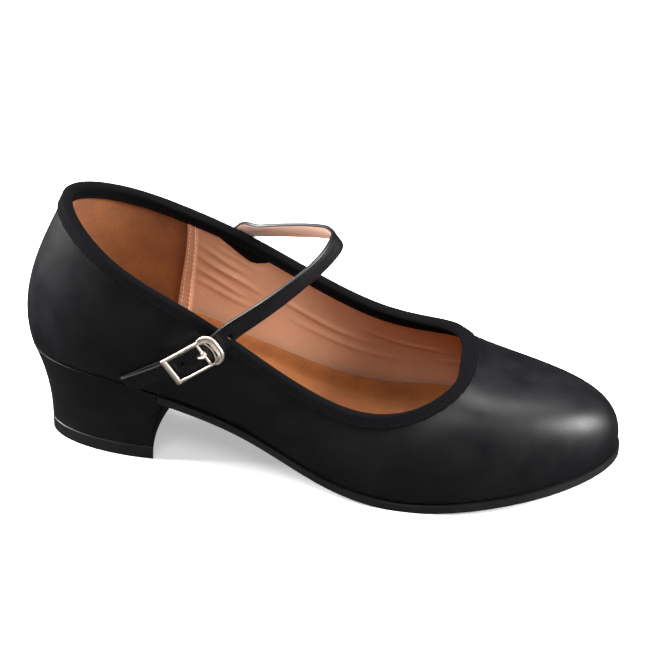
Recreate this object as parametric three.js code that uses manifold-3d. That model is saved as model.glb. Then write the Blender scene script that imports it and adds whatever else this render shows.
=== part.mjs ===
// A buckled dance shoe for the right foot: lasted leather upper, covered block heel, instep strap.
// Millimetres. X runs from heel to toe, +Y to the inner side of the foot, Z up from the ground.
import * as THREE from 'three';
import Module from 'manifold-3d';
import { mergeVertices } from 'three/addons/utils/BufferGeometryUtils.js';

const wasm = await Module();
wasm.setup();

// ---- Driving dimensions ----
const shoeLength = 247;
const ballWidth = 80;
const seatHeight = 43.6; // underside of the upper over the heel
const toeSpring = 10.1; // rise of the toe above the ball
const outsoleThickness = 3.2;
const outsoleEdge = 1; // how far the outsole stands out from the upper
const gap = 0.3; // clearance between pieces that lie on each other

const upperThickness = 1.2;
const stiffenerThickness = 0.5;
const liningThickness = 0.7;
const marginWidth = 12; // leather turned in under the insole
const bindingWidth = 5;
const bindingThickness = 0.6;
const insoleThickness = 1.8;
const sockThickness = 1;
const heelPadThickness = 1.5;

const topPieceThickness = 6;
const topPieceFront = 54.8;
const topPieceBack = 7.5;
const topPieceHalfWidth = 21;
const breastHollow = 2.5; // depth of the hollow in the heel's front face
const heelCoverThickness = 0.8;
const breastWrap = 4; // cover turned round onto the heel's front face

const strapWidth = 8.5;
const strapLeather = 1;
const strapLining = 0.5;
const strapReach = 50.8; // how far the open loop stands forward of its two ends
const strapRise = 31; // degrees that the loop rises from the horizontal
const holePitch = 8;
const holeRadius = 1.4;
const buckleLength = 25;
const railWidth = 1.6;
const railHeight = 1.8;
const barRadius = 0.6;
const prongRadius = 0.5;
const prongReach = 4; // radius of the prong's arc about its bar

// Twelve stations go round the shoe: heel back, outer side forward, toe, inner side back.
// Lengths are percent of the shoe, widths are for an 80 mm ball, the rest is millimetres.
const featherAt = [0, 8.5, 23.5, 42.5, 64.4, 86.6, 99.6, 91, 71, 44.5, 23.5, 8.5];
const featherSide = [1, -24.5, -26.5, -30, -40, -31, 0, 31, 40, 29.5, 27.5, 25];
const toplineAt = [6.5, 13.8, 25, 37.2, 57, 71.3, 73.7, 71.3, 57.5, 38.9, 25.5, 13.8];
const toplineSide = [1, -24, -29, -31.5, -33.5, -22.5, 0, 23, 32, 31, 29, 24];
const toplineRise = [68, 58, 49.5, 42, 35, 43, 47, 47.8, 47.9, 53.3, 58.1, 61.4];
const bellyPull = [28, 19, 18, 18, 18, 23, 35.5, 22.5, 18, 18, 18, 18];
const bellyLean = [14, 11, 12, 12, 12, 5, 8, 5, 12, 12, 12, 12];
const mouthPull = [16.5, 19, 19, 19, 18, 18, 24, 24, 18, 18, 19, 18];
const mouthLean = [21, 12, 11, 9, 9, 60, 56, 42, 12, 9, 11, 10];

// The underside's profile: how much of the seat height and the toe spring each place has.
const profileAt = [0, 11.3, 23.5, 38.5, 52.6, 66.8, 81, 95.1, 100];
const seatShare = [1, 1, 0.81, 0.5, 0.12, 0, 0, 0, 0];
const toeShare = [0, 0, 0, 0, 0, 0, 0.33, 0.8, 1];

// ---- Curves ----
const radians = THREE.MathUtils.degToRad;
const vec = (x, y, z) => new THREE.Vector3(x, y, z);
const mix = (a, b, share) => a + (b - a) * share;

function hermite(p, q, slopeP, slopeQ, f) {
  const g = f * f;
  const h = g * f;
  return (2 * h - 3 * g + 1) * p + (h - 2 * g + f) * slopeP + (3 * g - 2 * h) * q + (h - g) * slopeQ;
}

function closedCurve(values) {
  const count = values.length;
  const slope = new Array(count).fill(0);
  for (let pass = 0; pass < 40; pass += 1) {
    for (let i = 0; i < count; i += 1) {
      const before = (i + count - 1) % count;
      const after = (i + 1) % count;
      slope[i] = (3 * (values[after] - values[before]) - slope[before] - slope[after]) / 4;
    }
  }
  return (u) => {
    const s = (((u % 1) + 1) % 1) * count;
    const i = Math.floor(s) % count;
    const j = (i + 1) % count;
    return hermite(values[i], values[j], slope[i], slope[j], s - Math.floor(s));
  };
}

function openCurve(at, values) {
  const last = at.length - 1;
  const slope = new Array(at.length).fill(0);
  const rise = (i) => (values[i + 1] - values[i]) / (at[i + 1] - at[i]);
  for (let pass = 0; pass < 60; pass += 1) {
    slope[0] = (3 * rise(0) - slope[1]) / 2;
    for (let i = 1; i < last; i += 1) {
      const before = 1 / (at[i] - at[i - 1]);
      const after = 1 / (at[i + 1] - at[i]);
      const pull = 3 * (rise(i - 1) * before + rise(i) * after);
      slope[i] = (pull - slope[i - 1] * before - slope[i + 1] * after) / (2 * (before + after));
    }
    slope[last] = (3 * rise(last - 1) - slope[last - 1]) / 2;
  }
  return (x) => {
    if (x <= at[0]) return values[0] + slope[0] * (x - at[0]);
    if (x >= at[last]) return values[last] + slope[last] * (x - at[last]);
    const i = at.findIndex((knot, k) => x < at[k + 1]);
    const span = at[i + 1] - at[i];
    return hermite(values[i], values[i + 1], slope[i] * span, slope[i + 1] * span, (x - at[i]) / span);
  };
}

// ---- The last: the shape that the upper is pulled over ----
const ballRest = outsoleThickness + gap;
const lengthOf = (percent) => (percent * shoeLength) / 100;
const sideScale = ballWidth / 80;
const profile = openCurve(
  profileAt.map(lengthOf),
  profileAt.map((_, i) => ballRest + seatShare[i] * (seatHeight - ballRest) + toeShare[i] * toeSpring),
);
const featherX = closedCurve(featherAt.map(lengthOf));
const featherY = closedCurve(featherSide.map((y) => y * sideScale));
const toplineX = closedCurve(toplineAt.map(lengthOf));
const toplineY = closedCurve(toplineSide.map((y) => y * sideScale));
const toplineZ = closedCurve(toplineRise.map((rise, i) => rise + profile(lengthOf(toplineAt[i]))));
const belly = { pull: closedCurve(bellyPull), lean: closedCurve(bellyLean) };
const mouth = { pull: closedCurve(mouthPull), lean: closedCurve(mouthLean) };

const step = 0.0005;

function featherPoint(u) {
  return vec(featherX(u), featherY(u), profile(featherX(u)));
}

function featherOut(u) {
  const dx = featherX(u + step) - featherX(u - step);
  const dy = featherY(u + step) - featherY(u - step);
  return vec(dy, -dx, 0).normalize();
}

// u goes round the shoe from the heel's back, v goes up from the sole's edge to the topline.
function upperPoint(u, v) {
  const foot = featherPoint(u);
  const top = vec(toplineX(u), toplineY(u), toplineZ(u));
  const out = featherOut(u);
  const lowLean = radians(belly.lean(u));
  const highLean = radians(mouth.lean(u));
  const low = foot.clone().addScaledVector(out, belly.pull(u) * Math.sin(lowLean));
  low.z += belly.pull(u) * Math.cos(lowLean);
  const high = top.clone().addScaledVector(out, mouth.pull(u) * Math.sin(highLean));
  high.z -= mouth.pull(u) * Math.cos(highLean);
  const w = 1 - v;
  return foot
    .multiplyScalar(w * w * w)
    .addScaledVector(low, 3 * w * w * v)
    .addScaledVector(high, 3 * w * v * v)
    .addScaledVector(top, v * v * v);
}

function upperNormal(u, v) {
  const along = upperPoint(u + step, v).sub(upperPoint(u - step, v));
  const up = upperPoint(u, v + step).sub(upperPoint(u, v - step));
  return along.cross(up).normalize();
}

function layerPoint(u, v, depth) {
  return upperPoint(u, v).addScaledVector(upperNormal(u, v), -depth);
}

// A point at a distance below the topline edge, or above it where the distance is negative.
function rimPoint(u, below, depth) {
  if (below >= 0) return layerPoint(u, 1 - below / (3 * mouth.pull(u)), depth);
  const up = upperPoint(u, 1).sub(upperPoint(u, 1 - step)).normalize();
  return layerPoint(u, 1, depth).addScaledVector(up, -below);
}

// The place (u, v) on the outer (-1) or inner (1) side where the upper has this x and z.
function sidePlace(x, z, side) {
  let u = side < 0 ? 0.2 : 0.8;
  let v = 0.5;
  for (let pass = 0; pass < 20; pass += 1) {
    const p = upperPoint(u, v);
    const pu = upperPoint(u + step, v).sub(p).divideScalar(step);
    const pv = upperPoint(u, v + step).sub(p).divideScalar(step);
    const det = pu.x * pv.z - pu.z * pv.x;
    u += THREE.MathUtils.clamp(((x - p.x) * pv.z - (z - p.z) * pv.x) / det, -0.05, 0.05);
    v += THREE.MathUtils.clamp(((z - p.z) * pu.x - (x - p.x) * pu.z) / det, -0.3, 0.3);
  }
  return { u, v };
}

// ---- Solids ----
function solidGeometry(positions, triangles) {
  let volume = 0;
  const corner = (i) => vec(...positions[i]);
  for (const [a, b, c] of triangles) volume += corner(a).dot(corner(b).cross(corner(c)));
  const geometry = new THREE.BufferGeometry();
  geometry.setAttribute('position', new THREE.Float32BufferAttribute(positions.flat(), 3));
  geometry.setIndex(triangles.flatMap(([a, b, c]) => (volume < 0 ? [a, c, b] : [a, b, c])));
  return geometry;
}

function capTriangles(ring) {
  const normal = vec(0, 0, 0);
  ring.forEach((p, i) => normal.add(p.clone().cross(ring[(i + 1) % ring.length])));
  normal.normalize();
  const across = ring[1].clone().sub(ring[0]).normalize();
  const up = normal.clone().cross(across);
  const flat = ring.map((p) => new THREE.Vector2(p.dot(across), p.dot(up)));
  return THREE.ShapeUtils.triangulateShape(flat, []);
}

// A solid through a row of like sections, capped at its ends or joined into a ring.
function loft(rings, closed = false) {
  const size = rings[0].length;
  const positions = rings.flat().map((p) => p.toArray());
  const triangles = [];
  const last = closed ? rings.length : rings.length - 1;
  for (let i = 0; i < last; i += 1) {
    const near = i * size;
    const far = ((i + 1) % rings.length) * size;
    for (let j = 0; j < size; j += 1) {
      const k = (j + 1) % size;
      triangles.push([near + j, far + j, far + k], [near + j, far + k, near + k]);
    }
  }
  if (!closed) {
    const end = (rings.length - 1) * size;
    for (const [a, b, c] of capTriangles(rings[0])) triangles.push([a, b, c]);
    for (const [a, b, c] of capTriangles(rings[0])) triangles.push([end + a, end + c, end + b]);
  }
  return solidGeometry(positions, triangles);
}

function manifoldOf(geometry) {
  const bare = geometry.clone();
  bare.deleteAttribute('normal');
  bare.deleteAttribute('uv');
  const merged = mergeVertices(bare, 1e-5);
  return new wasm.Manifold(
    new wasm.Mesh({
      numProp: 3,
      vertProperties: new Float32Array(merged.attributes.position.array),
      triVerts: new Uint32Array(merged.index.array),
    }),
  );
}

function geometryOf(manifold) {
  const mesh = manifold.getMesh();
  const geometry = new THREE.BufferGeometry();
  geometry.setAttribute('position', new THREE.Float32BufferAttribute(mesh.vertProperties, 3));
  geometry.setIndex(Array.from(mesh.triVerts));
  return geometry;
}

function cut(geometry, tools) {
  return geometryOf(tools.reduce((body, tool) => body.subtract(manifoldOf(tool)), manifoldOf(geometry)));
}

function join(geometry, additions) {
  return geometryOf(additions.reduce((body, more) => body.add(manifoldOf(more)), manifoldOf(geometry)));
}

const shoe = new THREE.Group();
// The origin is the middle of the heel's ground face.
const heelMiddle = (topPieceFront + topPieceBack) / 2;
shoe.position.x = -Math.round(heelMiddle);

function addPiece(name, geometry, look, parent = shoe) {
  const mesh = new THREE.Mesh(geometry, new THREE.MeshStandardMaterial(look));
  mesh.name = name;
  parent.add(mesh);
  return mesh;
}

const blackLeather = { color: 0x1c1c1f, roughness: 0.42, metalness: 0 };
const pinkLeather = { color: 0xb98670, roughness: 0.6, metalness: 0 };
const tanSuede = { color: 0x8f6238, roughness: 0.95, metalness: 0 };
const board = { color: 0x8a7558, roughness: 0.9, metalness: 0 };
const rubber = { color: 0x141415, roughness: 0.6, metalness: 0 };
const steel = { color: 0x9a9a9c, roughness: 0.35, metalness: 1 };
const nickel = { color: 0xd8cfc8, roughness: 0.25, metalness: 1 };

// ---- Upper and the layers inside it ----
const stationsOf = (from, to, count) => Array.from({ length: count + 1 }, (_, i) => mix(from, to, i / count));

// Every layer is cut at the same places round the shoe and up its side, so that they nest.
const around = 72;
const turns = stationsOf(0, 1 - 1 / around, around - 1);
const heights = [0, 0.05, 0.12, 0.25, 0.4, 0.55, 0.7, 0.83, 0.92, 0.96, 1];
const between = (places, from, to) => [from, ...places.filter((p) => p > from + 1e-6 && p < to - 1e-6), to];

const liningFoot = 0.08; // the share of the side's height where the lining starts
const liningDepth = upperThickness + gap + stiffenerThickness + gap;
const wallDepth = liningDepth + liningThickness;

function upperRing(u) {
  const outside = heights.map((v) => upperPoint(u, v));
  const inside = between(heights, liningFoot, 1).reverse().map((v) => layerPoint(u, v, upperThickness));
  const foot = featherPoint(u);
  const turned = (inset, rise) => {
    const p = foot.clone().addScaledVector(featherOut(u), -inset);
    return vec(p.x, p.y, profile(p.x) + rise);
  };
  return [...outside, ...inside, turned(2, upperThickness), turned(marginWidth, upperThickness), turned(marginWidth, 0)];
}

addPiece('upper', loft(turns.map(upperRing), true), blackLeather);

// A curved sheet that covers part of the upper's inside, between two depths.
function sheet({ from, to, low, high, depth, thickness }) {
  const wholeTurns = stationsOf(-1, 1, 2 * around);
  const rows = between(heights, low, high);
  return loft(between(wholeTurns, from, to).map((u) => [
    ...rows.map((v) => layerPoint(u, v, depth)),
    ...rows.map((v) => layerPoint(u, v, depth + thickness)).reverse(),
  ]));
}

const gripSeam = 0.163; // where the heel grip meets the front lining, as a share of the way round
const seamGap = 0.002;
const stiffenerDepth = upperThickness + gap;
addPiece('heel_counter', sheet({
  from: -0.14, to: 0.14, low: liningFoot, high: 0.62,
  depth: stiffenerDepth, thickness: stiffenerThickness,
}), board);
addPiece('toe_puff', sheet({
  from: 0.41, to: 0.59, low: liningFoot, high: 0.55,
  depth: stiffenerDepth, thickness: stiffenerThickness,
}), board);
addPiece('heel_grip_lining', sheet({
  from: -gripSeam, to: gripSeam, low: liningFoot, high: 1,
  depth: liningDepth, thickness: liningThickness,
}), tanSuede);
addPiece('vamp_lining', sheet({
  from: gripSeam + seamGap, to: 1 - gripSeam - seamGap, low: liningFoot, high: 1,
  depth: liningDepth, thickness: liningThickness,
}), pinkLeather);

// Ribbed tape folded over the topline, through the upper and its lining.
const bindingInside = wallDepth + gap;
function bindingRing(u) {
  const crown = -gap - bindingThickness;
  const legs = [bindingWidth, bindingWidth / 2, 0];
  const down = [...legs].reverse();
  return [
    ...[...legs, crown].map((below) => rimPoint(u, below, crown)),
    ...[crown, ...down].map((below) => rimPoint(u, below, bindingInside + bindingThickness)),
    ...[...legs, -gap].map((below) => rimPoint(u, below, bindingInside)),
    ...[-gap, ...down].map((below) => rimPoint(u, below, -gap)),
  ];
}
addPiece('topline_binding', loft(turns.map(bindingRing), true), blackLeather);

// ---- Layers under the foot ----
function outlineSides(inset) {
  const points = stationsOf(0, 1, 480).map((u) => featherPoint(u).addScaledVector(featherOut(u), -inset));
  const sideAt = (x, side) => {
    let reach = 0;
    for (let i = 0; i < points.length - 1; i += 1) {
      const a = points[i];
      const b = points[i + 1];
      if ((a.x - x) * (b.x - x) > 0 || a.x === b.x) continue;
      const y = mix(a.y, b.y, (x - a.x) / (b.x - a.x));
      reach = Math.max(reach, y * side);
    }
    return reach * side;
  };
  const xs = points.map((p) => p.x);
  return { back: Math.min(...xs), front: Math.max(...xs), sideAt };
}

const endTrim = 0.4;
// A plate that follows the underside's profile, inside the sole's edge by an inset.
function plate({ inset, from = -Infinity, to = Infinity, bottom, top, steps = 36, halfWidth = Infinity }) {
  const outline = outlineSides(inset);
  const start = Math.max(from, outline.back + endTrim);
  const end = Math.min(to, outline.front - endTrim);
  const rings = stationsOf(0, 1, steps).map((share) => {
    const x = mix(start, end, (1 - Math.cos(Math.PI * share)) / 2);
    const outer = Math.max(outline.sideAt(x, -1), -halfWidth);
    const inner = Math.min(outline.sideAt(x, 1), halfWidth);
    const z = profile(x);
    return [
      vec(x, outer, z + bottom(x)),
      vec(x, inner, z + bottom(x)),
      vec(x, inner, z + top(x)),
      vec(x, outer, z + top(x)),
    ];
  });
  return loft(rings);
}

const level = (height) => () => height;
const breastX = lengthOf(featherAt[2]);
addPiece('outsole', plate({
  inset: -outsoleEdge, from: breastX + 1, bottom: level(-gap - outsoleThickness), top: level(-gap), steps: 44,
}), rubber);

const boardBottom = upperThickness + gap;
const boardTop = boardBottom + insoleThickness;
const boardInset = wallDepth + gap;
const layerInset = marginWidth + 2 * gap;
addPiece('bottom_filler', plate({
  inset: layerInset, from: 0.55 * shoeLength, bottom: level(0), top: level(upperThickness), steps: 24,
}), board);
addPiece('shank', plate({
  inset: layerInset, from: 34, to: 0.54 * shoeLength, halfWidth: 6,
  bottom: level(gap), top: level(upperThickness), steps: 14,
}), steel);

const padEnd = 72;
const sockRise = (x) => heelPadThickness + gap - (heelPadThickness + gap) * THREE.MathUtils.smoothstep(x, padEnd, padEnd + 16);
addPiece('heel_pad', plate({
  inset: boardInset + 3, to: padEnd, bottom: level(boardTop + gap), top: level(boardTop + gap + heelPadThickness),
  steps: 18,
}), board);
addPiece('sock_lining', plate({
  inset: boardInset + gap,
  bottom: (x) => boardTop + gap + sockRise(x),
  top: (x) => boardTop + gap + sockRise(x) + sockThickness,
  steps: 44,
}), tanSuede);

// ---- Heel ----
const heelFoot = topPieceThickness + gap;
const seatFront = breastX;

// The heel's outline at a share of its height, from the outer front corner round the back.
function heelCurve(share, inset) {
  const flare = share * share;
  return stationsOf(-1, 1, 18).map((t) => {
    const angle = (t * Math.PI) / 2;
    const depth = topPieceFront - topPieceBack - 2 * inset;
    const treadX = topPieceFront - inset - depth * Math.cos(angle);
    const treadY = (topPieceHalfWidth - inset) * Math.sin(angle);
    const seat = featherPoint(-t / 6).addScaledVector(featherOut(-t / 6), -inset);
    return vec(mix(treadX, seat.x, flare), mix(treadY, seat.y, flare), 0);
  });
}

function heelZ(p, share) {
  return mix(heelFoot, profile(p.x) - gap, share);
}

// A point across the heel's front face: q is -1 at the outer corner and 1 at the inner one.
function breastPoint(share, q, inset) {
  const curve = heelCurve(share, inset);
  const corner = q < 0 ? curve[0] : curve[curve.length - 1];
  const hollow = breastHollow * (1 - share * share) * (1 - q * q);
  const front = mix(topPieceFront, seatFront, share * share) - inset;
  return vec(front - hollow, Math.abs(q) * corner.y, 0);
}

const raised = (points, share) => points.map((p) => vec(p.x, p.y, heelZ(p, share)));
const heelShares = stationsOf(0, 1, 8);
const blockInset = heelCoverThickness + gap;
const wrapShare = 1 - breastWrap / topPieceHalfWidth;

function blockRing(share) {
  const across = stationsOf(1, -1, 8).slice(1, -1).map((q) => breastPoint(share, q, blockInset));
  const curve = heelCurve(share, blockInset);
  curve[0].x = breastPoint(share, -1, blockInset).x;
  curve[curve.length - 1].x = curve[0].x;
  return raised([...curve, ...across], share);
}

function coverRing(share) {
  const outside = heelCurve(share, 0);
  const inside = heelCurve(share, heelCoverThickness);
  const trim = (curve, inset) => {
    curve[0].x = breastPoint(share, -1, inset).x;
    curve[curve.length - 1].x = curve[0].x;
  };
  trim(outside, 0);
  trim(inside, heelCoverThickness);
  return raised([
    ...outside,
    breastPoint(share, wrapShare, 0),
    breastPoint(share, wrapShare, heelCoverThickness),
    ...inside.reverse(),
    breastPoint(share, -wrapShare, heelCoverThickness),
    breastPoint(share, -wrapShare, 0),
  ], share);
}

function breastRing(share) {
  const edge = wrapShare - gap / topPieceHalfWidth;
  const front = stationsOf(-edge, edge, 8).map((q) => breastPoint(share, q, 0));
  const back = stationsOf(edge, -edge, 8).map((q) => breastPoint(share, q, heelCoverThickness));
  return raised([...front, ...back], share);
}

// A turned pin that stands on its point: a head, a shank and a clearance all round.
function pinGeometry({ x, y, top, length, head, headHeight, radius }, clearance = 0) {
  const grow = clearance;
  const profilePoints = [
    new THREE.Vector2(0, -length - grow),
    new THREE.Vector2(radius * 0.4 + grow, -length - grow),
    new THREE.Vector2(radius + grow, -length + radius * 2),
    new THREE.Vector2(radius + grow, -headHeight - grow),
    new THREE.Vector2(head + grow, -headHeight * 0.4 - grow),
    new THREE.Vector2(head + grow, grow),
    new THREE.Vector2(0, grow),
  ];
  const geometry = new THREE.LatheGeometry(profilePoints, 14);
  geometry.rotateX(Math.PI / 2);
  geometry.translate(x, y, top);
  return geometryOf(manifoldOf(geometry));
}

const seatTop = (x) => profile(x) + boardTop - 0.6; // heads lie just under the board's face
const screwX = lengthOf(10.5);
const screw = { x: screwX, y: 0, top: seatTop(screwX), length: 27, head: 3.6, headHeight: 2.2, radius: 1.9 };
const nailSpots = [[7.3, -6], [7.3, 6], [15.4, -10], [15.4, 10]]; // percent of the shoe, mm aside
const nails = nailSpots.map(([place, y]) => ({
  x: lengthOf(place), y, top: seatTop(lengthOf(place)), length: 22, head: 2, headHeight: 0.9, radius: 0.9,
}));
const pinTop = 15;
const pins = [0.23, 0.77].map((share) => ({
  x: mix(topPieceBack, topPieceFront, share), y: 0, top: pinTop, length: pinTop - 2, head: 1.6, headHeight: 1, radius: 1.6,
}));

const fastenerRoom = 0.25;
const roomFor = (pin) => pinGeometry(pin, fastenerRoom);
const seatFasteners = [screw, ...nails];
addPiece('heel_screw', pinGeometry(screw), steel);
nails.forEach((nail, i) => addPiece(`heel_nail_${i + 1}`, pinGeometry(nail), steel));
pins.forEach((pin, i) => addPiece(`top_piece_pin_${i + 1}`, pinGeometry(pin), steel));

addPiece('heel_block', cut(loft(heelShares.map(blockRing)), [...seatFasteners, ...pins].map(roomFor)), rubber);
addPiece('heel_cover', loft(heelShares.map(coverRing)), blackLeather);
addPiece('heel_breast_cover', loft(heelShares.map(breastRing)), blackLeather);
const tread = [...heelCurve(0, 0), ...stationsOf(1, -1, 8).slice(1, -1).map((q) => breastPoint(0, q, 0))];
const topPieceRings = [0, topPieceThickness].map((z) => tread.map((p) => vec(p.x, p.y, z)));
addPiece('heel_top_piece', cut(loft(topPieceRings), pins.map(roomFor)), rubber);
const insole = plate({ inset: boardInset, bottom: level(boardBottom), top: level(boardTop), steps: 40 });
addPiece('insole_board', cut(insole, seatFasteners.map(roomFor)), board);

// ---- Strap ----
const strapHalf = (strapLeather + strapLining + gap) / 2;
const strapStand = strapHalf + gap + 2.8; // over the chape and its elastic
const rimStand = strapHalf + 1.5 * gap + bindingThickness + 0.4; // over the binding
const runPoint = (x, z, side, stand) => {
  const { u, v } = sidePlace(x, z, side);
  return { at: layerPoint(u, v, -stand), out: upperNormal(u, v) };
};

// The buckle lies flat on the outer side, on a line that rises towards the instep.
const buckleSeat = runPoint(77, 62.6, -1, strapStand);
const buckleTilt = radians(37);
const buckleAlong = vec(Math.cos(buckleTilt), 0, Math.sin(buckleTilt));
buckleAlong.addScaledVector(buckleSeat.out, -buckleAlong.dot(buckleSeat.out)).normalize();
const buckleAcross = buckleSeat.out.clone().cross(buckleAlong);
const fromBuckle = (along) => buckleSeat.at.clone().addScaledVector(buckleAlong, along);

const hinge = runPoint(84, 81.7, 1, rimStand);
const rootBelow = runPoint(80, 77.7, 1, rimStand);
const rootAlong = hinge.at.clone().sub(rootBelow.at).normalize();
const loopBase = { outer: fromBuckle(8), inner: hinge.at };
const loopForward = vec(Math.cos(radians(strapRise)), 0, Math.sin(radians(strapRise)));
const loopSpan = loopBase.inner.clone().sub(loopBase.outer);
const loopUnder = loopSpan.clone().cross(loopForward).normalize();
const lean = 0.75; // the loop's face tips up towards the shin on the inner side
// Places on the loop: share of its reach, share of its half span to the outer (-) or inner side,
// and millimetres under the plane of its two ends.
const loopPlaces = [
  [0.21, -0.93, -2.4], [0.38, -0.86, -2.7], [0.6, -0.73, -2.6], [0.79, -0.55, -2], [0.89, -0.4, -1.2],
  [0.97, -0.2, -0.1], [1, 0.07, 1.2], [0.92, 0.27, 1.6], [0.76, 0.45, 1.8], [0.55, 0.635, 1.9],
  [0.33, 0.81, 1.7], [0.18, 0.91, 1.1],
];
const loopControls = loopPlaces.map(([reach, side, under]) => {
  const at = loopBase.outer.clone().addScaledVector(loopSpan, (side + 1) / 2);
  at.addScaledVector(loopForward, reach * strapReach).addScaledVector(loopUnder, under);
  const forward = Math.sqrt(Math.max(0, 1 - side * side));
  return { at, out: vec(forward, side, lean * THREE.MathUtils.smoothstep(side, -0.6, 0.4)) };
});

const straight = (along) => ({ at: fromBuckle(along), out: buckleSeat.out });
const tailStand = strapHalf + 2 * gap + upperThickness;
// Controls every few millimetres along one side, through marks of x, z and stand-off.
function sideRun(marks, side) {
  return marks.slice(1).flatMap((mark, i) => stationsOf(0, 1, 4).slice(i > 0 ? 1 : 0).map((share) => {
    const [x, z, stand] = mark.map((value, k) => mix(marks[i][k], value, share));
    return runPoint(x, z, side, stand);
  }));
}
const tail = { x: 47.5, z: 43.3 };
const keeper = { x: 62, z: 52.3 };
const strapControls = [
  ...sideRun([[tail.x, tail.z, tailStand], [keeper.x, keeper.z, strapStand]], -1),
  ...[-11, -6, 0, 4, 8].map(straight),
  ...loopControls,
  { at: hinge.at.clone().addScaledVector(rootAlong, 1.6), out: hinge.out },
  { at: hinge.at, out: hinge.out },
];
const rootStand = strapHalf + gap;
const rootControls = sideRun([
  [84, 81.7, rimStand], [76, 73.4, rimStand], [71, 67.4, rootStand], [60, 53.5, rootStand], [50, 45.5, rootStand],
], 1);

// Frames along a run of controls: a place, the way along it, out from the foot, and across.
function runFrames(controls, from, to, count) {
  const path = new THREE.CatmullRomCurve3(controls.map((c) => c.at), false, 'centripetal');
  const outs = new THREE.CatmullRomCurve3(controls.map((c) => c.out), false, 'catmullrom');
  const length = path.getLength();
  return stationsOf(from, length - to, count).map((distance) => {
    const t = path.getUtoTmapping(0, distance);
    const along = path.getTangent(t);
    const out = outs.getPoint(t);
    out.addScaledVector(along, -out.dot(along)).normalize();
    return { at: path.getPoint(t), along, out, across: out.clone().cross(along) };
  });
}

function strip(frames, inside, outside, width) {
  return loft(frames.map(({ at, out, across }) => {
    const corner = (side, height) => at.clone().addScaledVector(across, side).addScaledVector(out, height);
    const half = width / 2;
    return [corner(-half, inside), corner(half, inside), corner(half, outside), corner(-half, outside)];
  }));
}

const foldGap = 0.25;
const strapFrames = runFrames(strapControls, 0, foldGap, 110);
const rootFrames = runFrames(rootControls, foldGap, 0, 18);

function holeCutter(along) {
  const cutter = new THREE.CylinderGeometry(holeRadius, holeRadius, 6, 16);
  const place = new THREE.Matrix4().makeBasis(buckleAcross, buckleSeat.out, buckleAlong);
  place.setPosition(fromBuckle(along));
  return cutter.applyMatrix4(place);
}

const crossBarAt = 4.5;
const prongHoleAt = crossBarAt - 3;
const holes = [-1, 0, 1, 2].map((i) => holeCutter(prongHoleAt + i * holePitch));
const strapTop = strapHalf;
const liningTop = -strapHalf + strapLining;
addPiece('strap_outer', cut(strip(strapFrames, strapTop - strapLeather, strapTop, strapWidth), holes), blackLeather);
addPiece('strap_lining', cut(strip(strapFrames, -strapHalf, liningTop, strapWidth - 0.6), holes), pinkLeather);
addPiece('strap_root', strip(rootFrames, -strapHalf, strapHalf, strapWidth), blackLeather);

// The strap's inner end is stitched through a patch on the lining, just under the binding.
addPiece('strap_patch', sheet({
  from: 0.758, to: 0.803, low: 0.74, high: 0.89,
  depth: wallDepth + gap, thickness: 0.5,
}), blackLeather);

// ---- Buckle, in its own frame: x along the strap, y across it, z out from the foot ----
const buckle = new THREE.Group();
buckle.applyMatrix4(new THREE.Matrix4().makeBasis(buckleAlong, buckleAcross, buckleSeat.out)
  .setPosition(buckleSeat.at));
shoe.add(buckle);

const sleeveRoom = 0.15;
const sleeveOuter = barRadius + sleeveRoom + 0.45;
const barZ = strapHalf + gap + sleeveOuter;
const railY = strapWidth / 2 + 0.5 + railWidth / 2;
const endX = buckleLength / 2;
const endLift = 0.3;
const sweepSection = 8;

// A closed or open rod along points, with an oval section that keeps its long side level.
function rod(points, width, height, closed) {
  const last = points.length - 1;
  const rings = points.map((p, i) => {
    const before = points[closed ? (i + last) % points.length : Math.max(i - 1, 0)];
    const after = points[closed ? (i + 1) % points.length : Math.min(i + 1, last)];
    const along = after.clone().sub(before).normalize();
    const side = Math.abs(along.z) > 0.9 ? vec(1, 0, 0) : vec(0, 0, 1).cross(along).normalize();
    const up = along.clone().cross(side);
    return stationsOf(0, 1 - 1 / sweepSection, sweepSection - 1).map((turn) => {
      const angle = turn * 2 * Math.PI;
      return p.clone().addScaledVector(side, (width / 2) * Math.cos(angle))
        .addScaledVector(up, (height / 2) * Math.sin(angle));
    });
  });
  return loft(rings, closed);
}

function framePoints() {
  const corner = 3;
  const arcs = [[1, -1], [1, 1], [-1, 1], [-1, -1]];
  return arcs.flatMap(([sx, sy], quarter) => stationsOf(0, 1, 5).map((share) => {
    const angle = (quarter - 1 + share) * (Math.PI / 2);
    const round = sx > 0 ? corner : 1.2;
    const x = sx * (endX - round) + round * Math.cos(angle);
    const y = sy * (railY - round) + round * Math.sin(angle);
    return vec(x, y, barZ + endLift * THREE.MathUtils.smoothstep(x, endX - 7, endX - 1));
  }));
}

const bladeThickness = 0.8;
const bladeZ = -strapHalf - 0.2 - 0.4 - 0.2 - bladeThickness / 2;
const bladeX = 7;
const bladeCorner = (y, z) => vec(bladeX, y, z);
const blade = rod([
  bladeCorner(-railY, barZ), bladeCorner(-railY, bladeZ + 1), bladeCorner(-railY + 0.6, bladeZ),
  bladeCorner(railY - 0.6, bladeZ), bladeCorner(railY, bladeZ + 1), bladeCorner(railY, barZ),
], 1.4, bladeThickness, false);
addPiece('buckle_frame', join(rod(framePoints(), railWidth, railHeight, true), [blade]), nickel, buckle);

const barLength = 2 * (railY - railWidth / 2 - 0.2);
const crossBar = new THREE.CylinderGeometry(barRadius, barRadius, barLength, 14);
crossBar.translate(crossBarAt, 0, barZ);
addPiece('buckle_cross_bar', crossBar, nickel, buckle);

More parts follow.
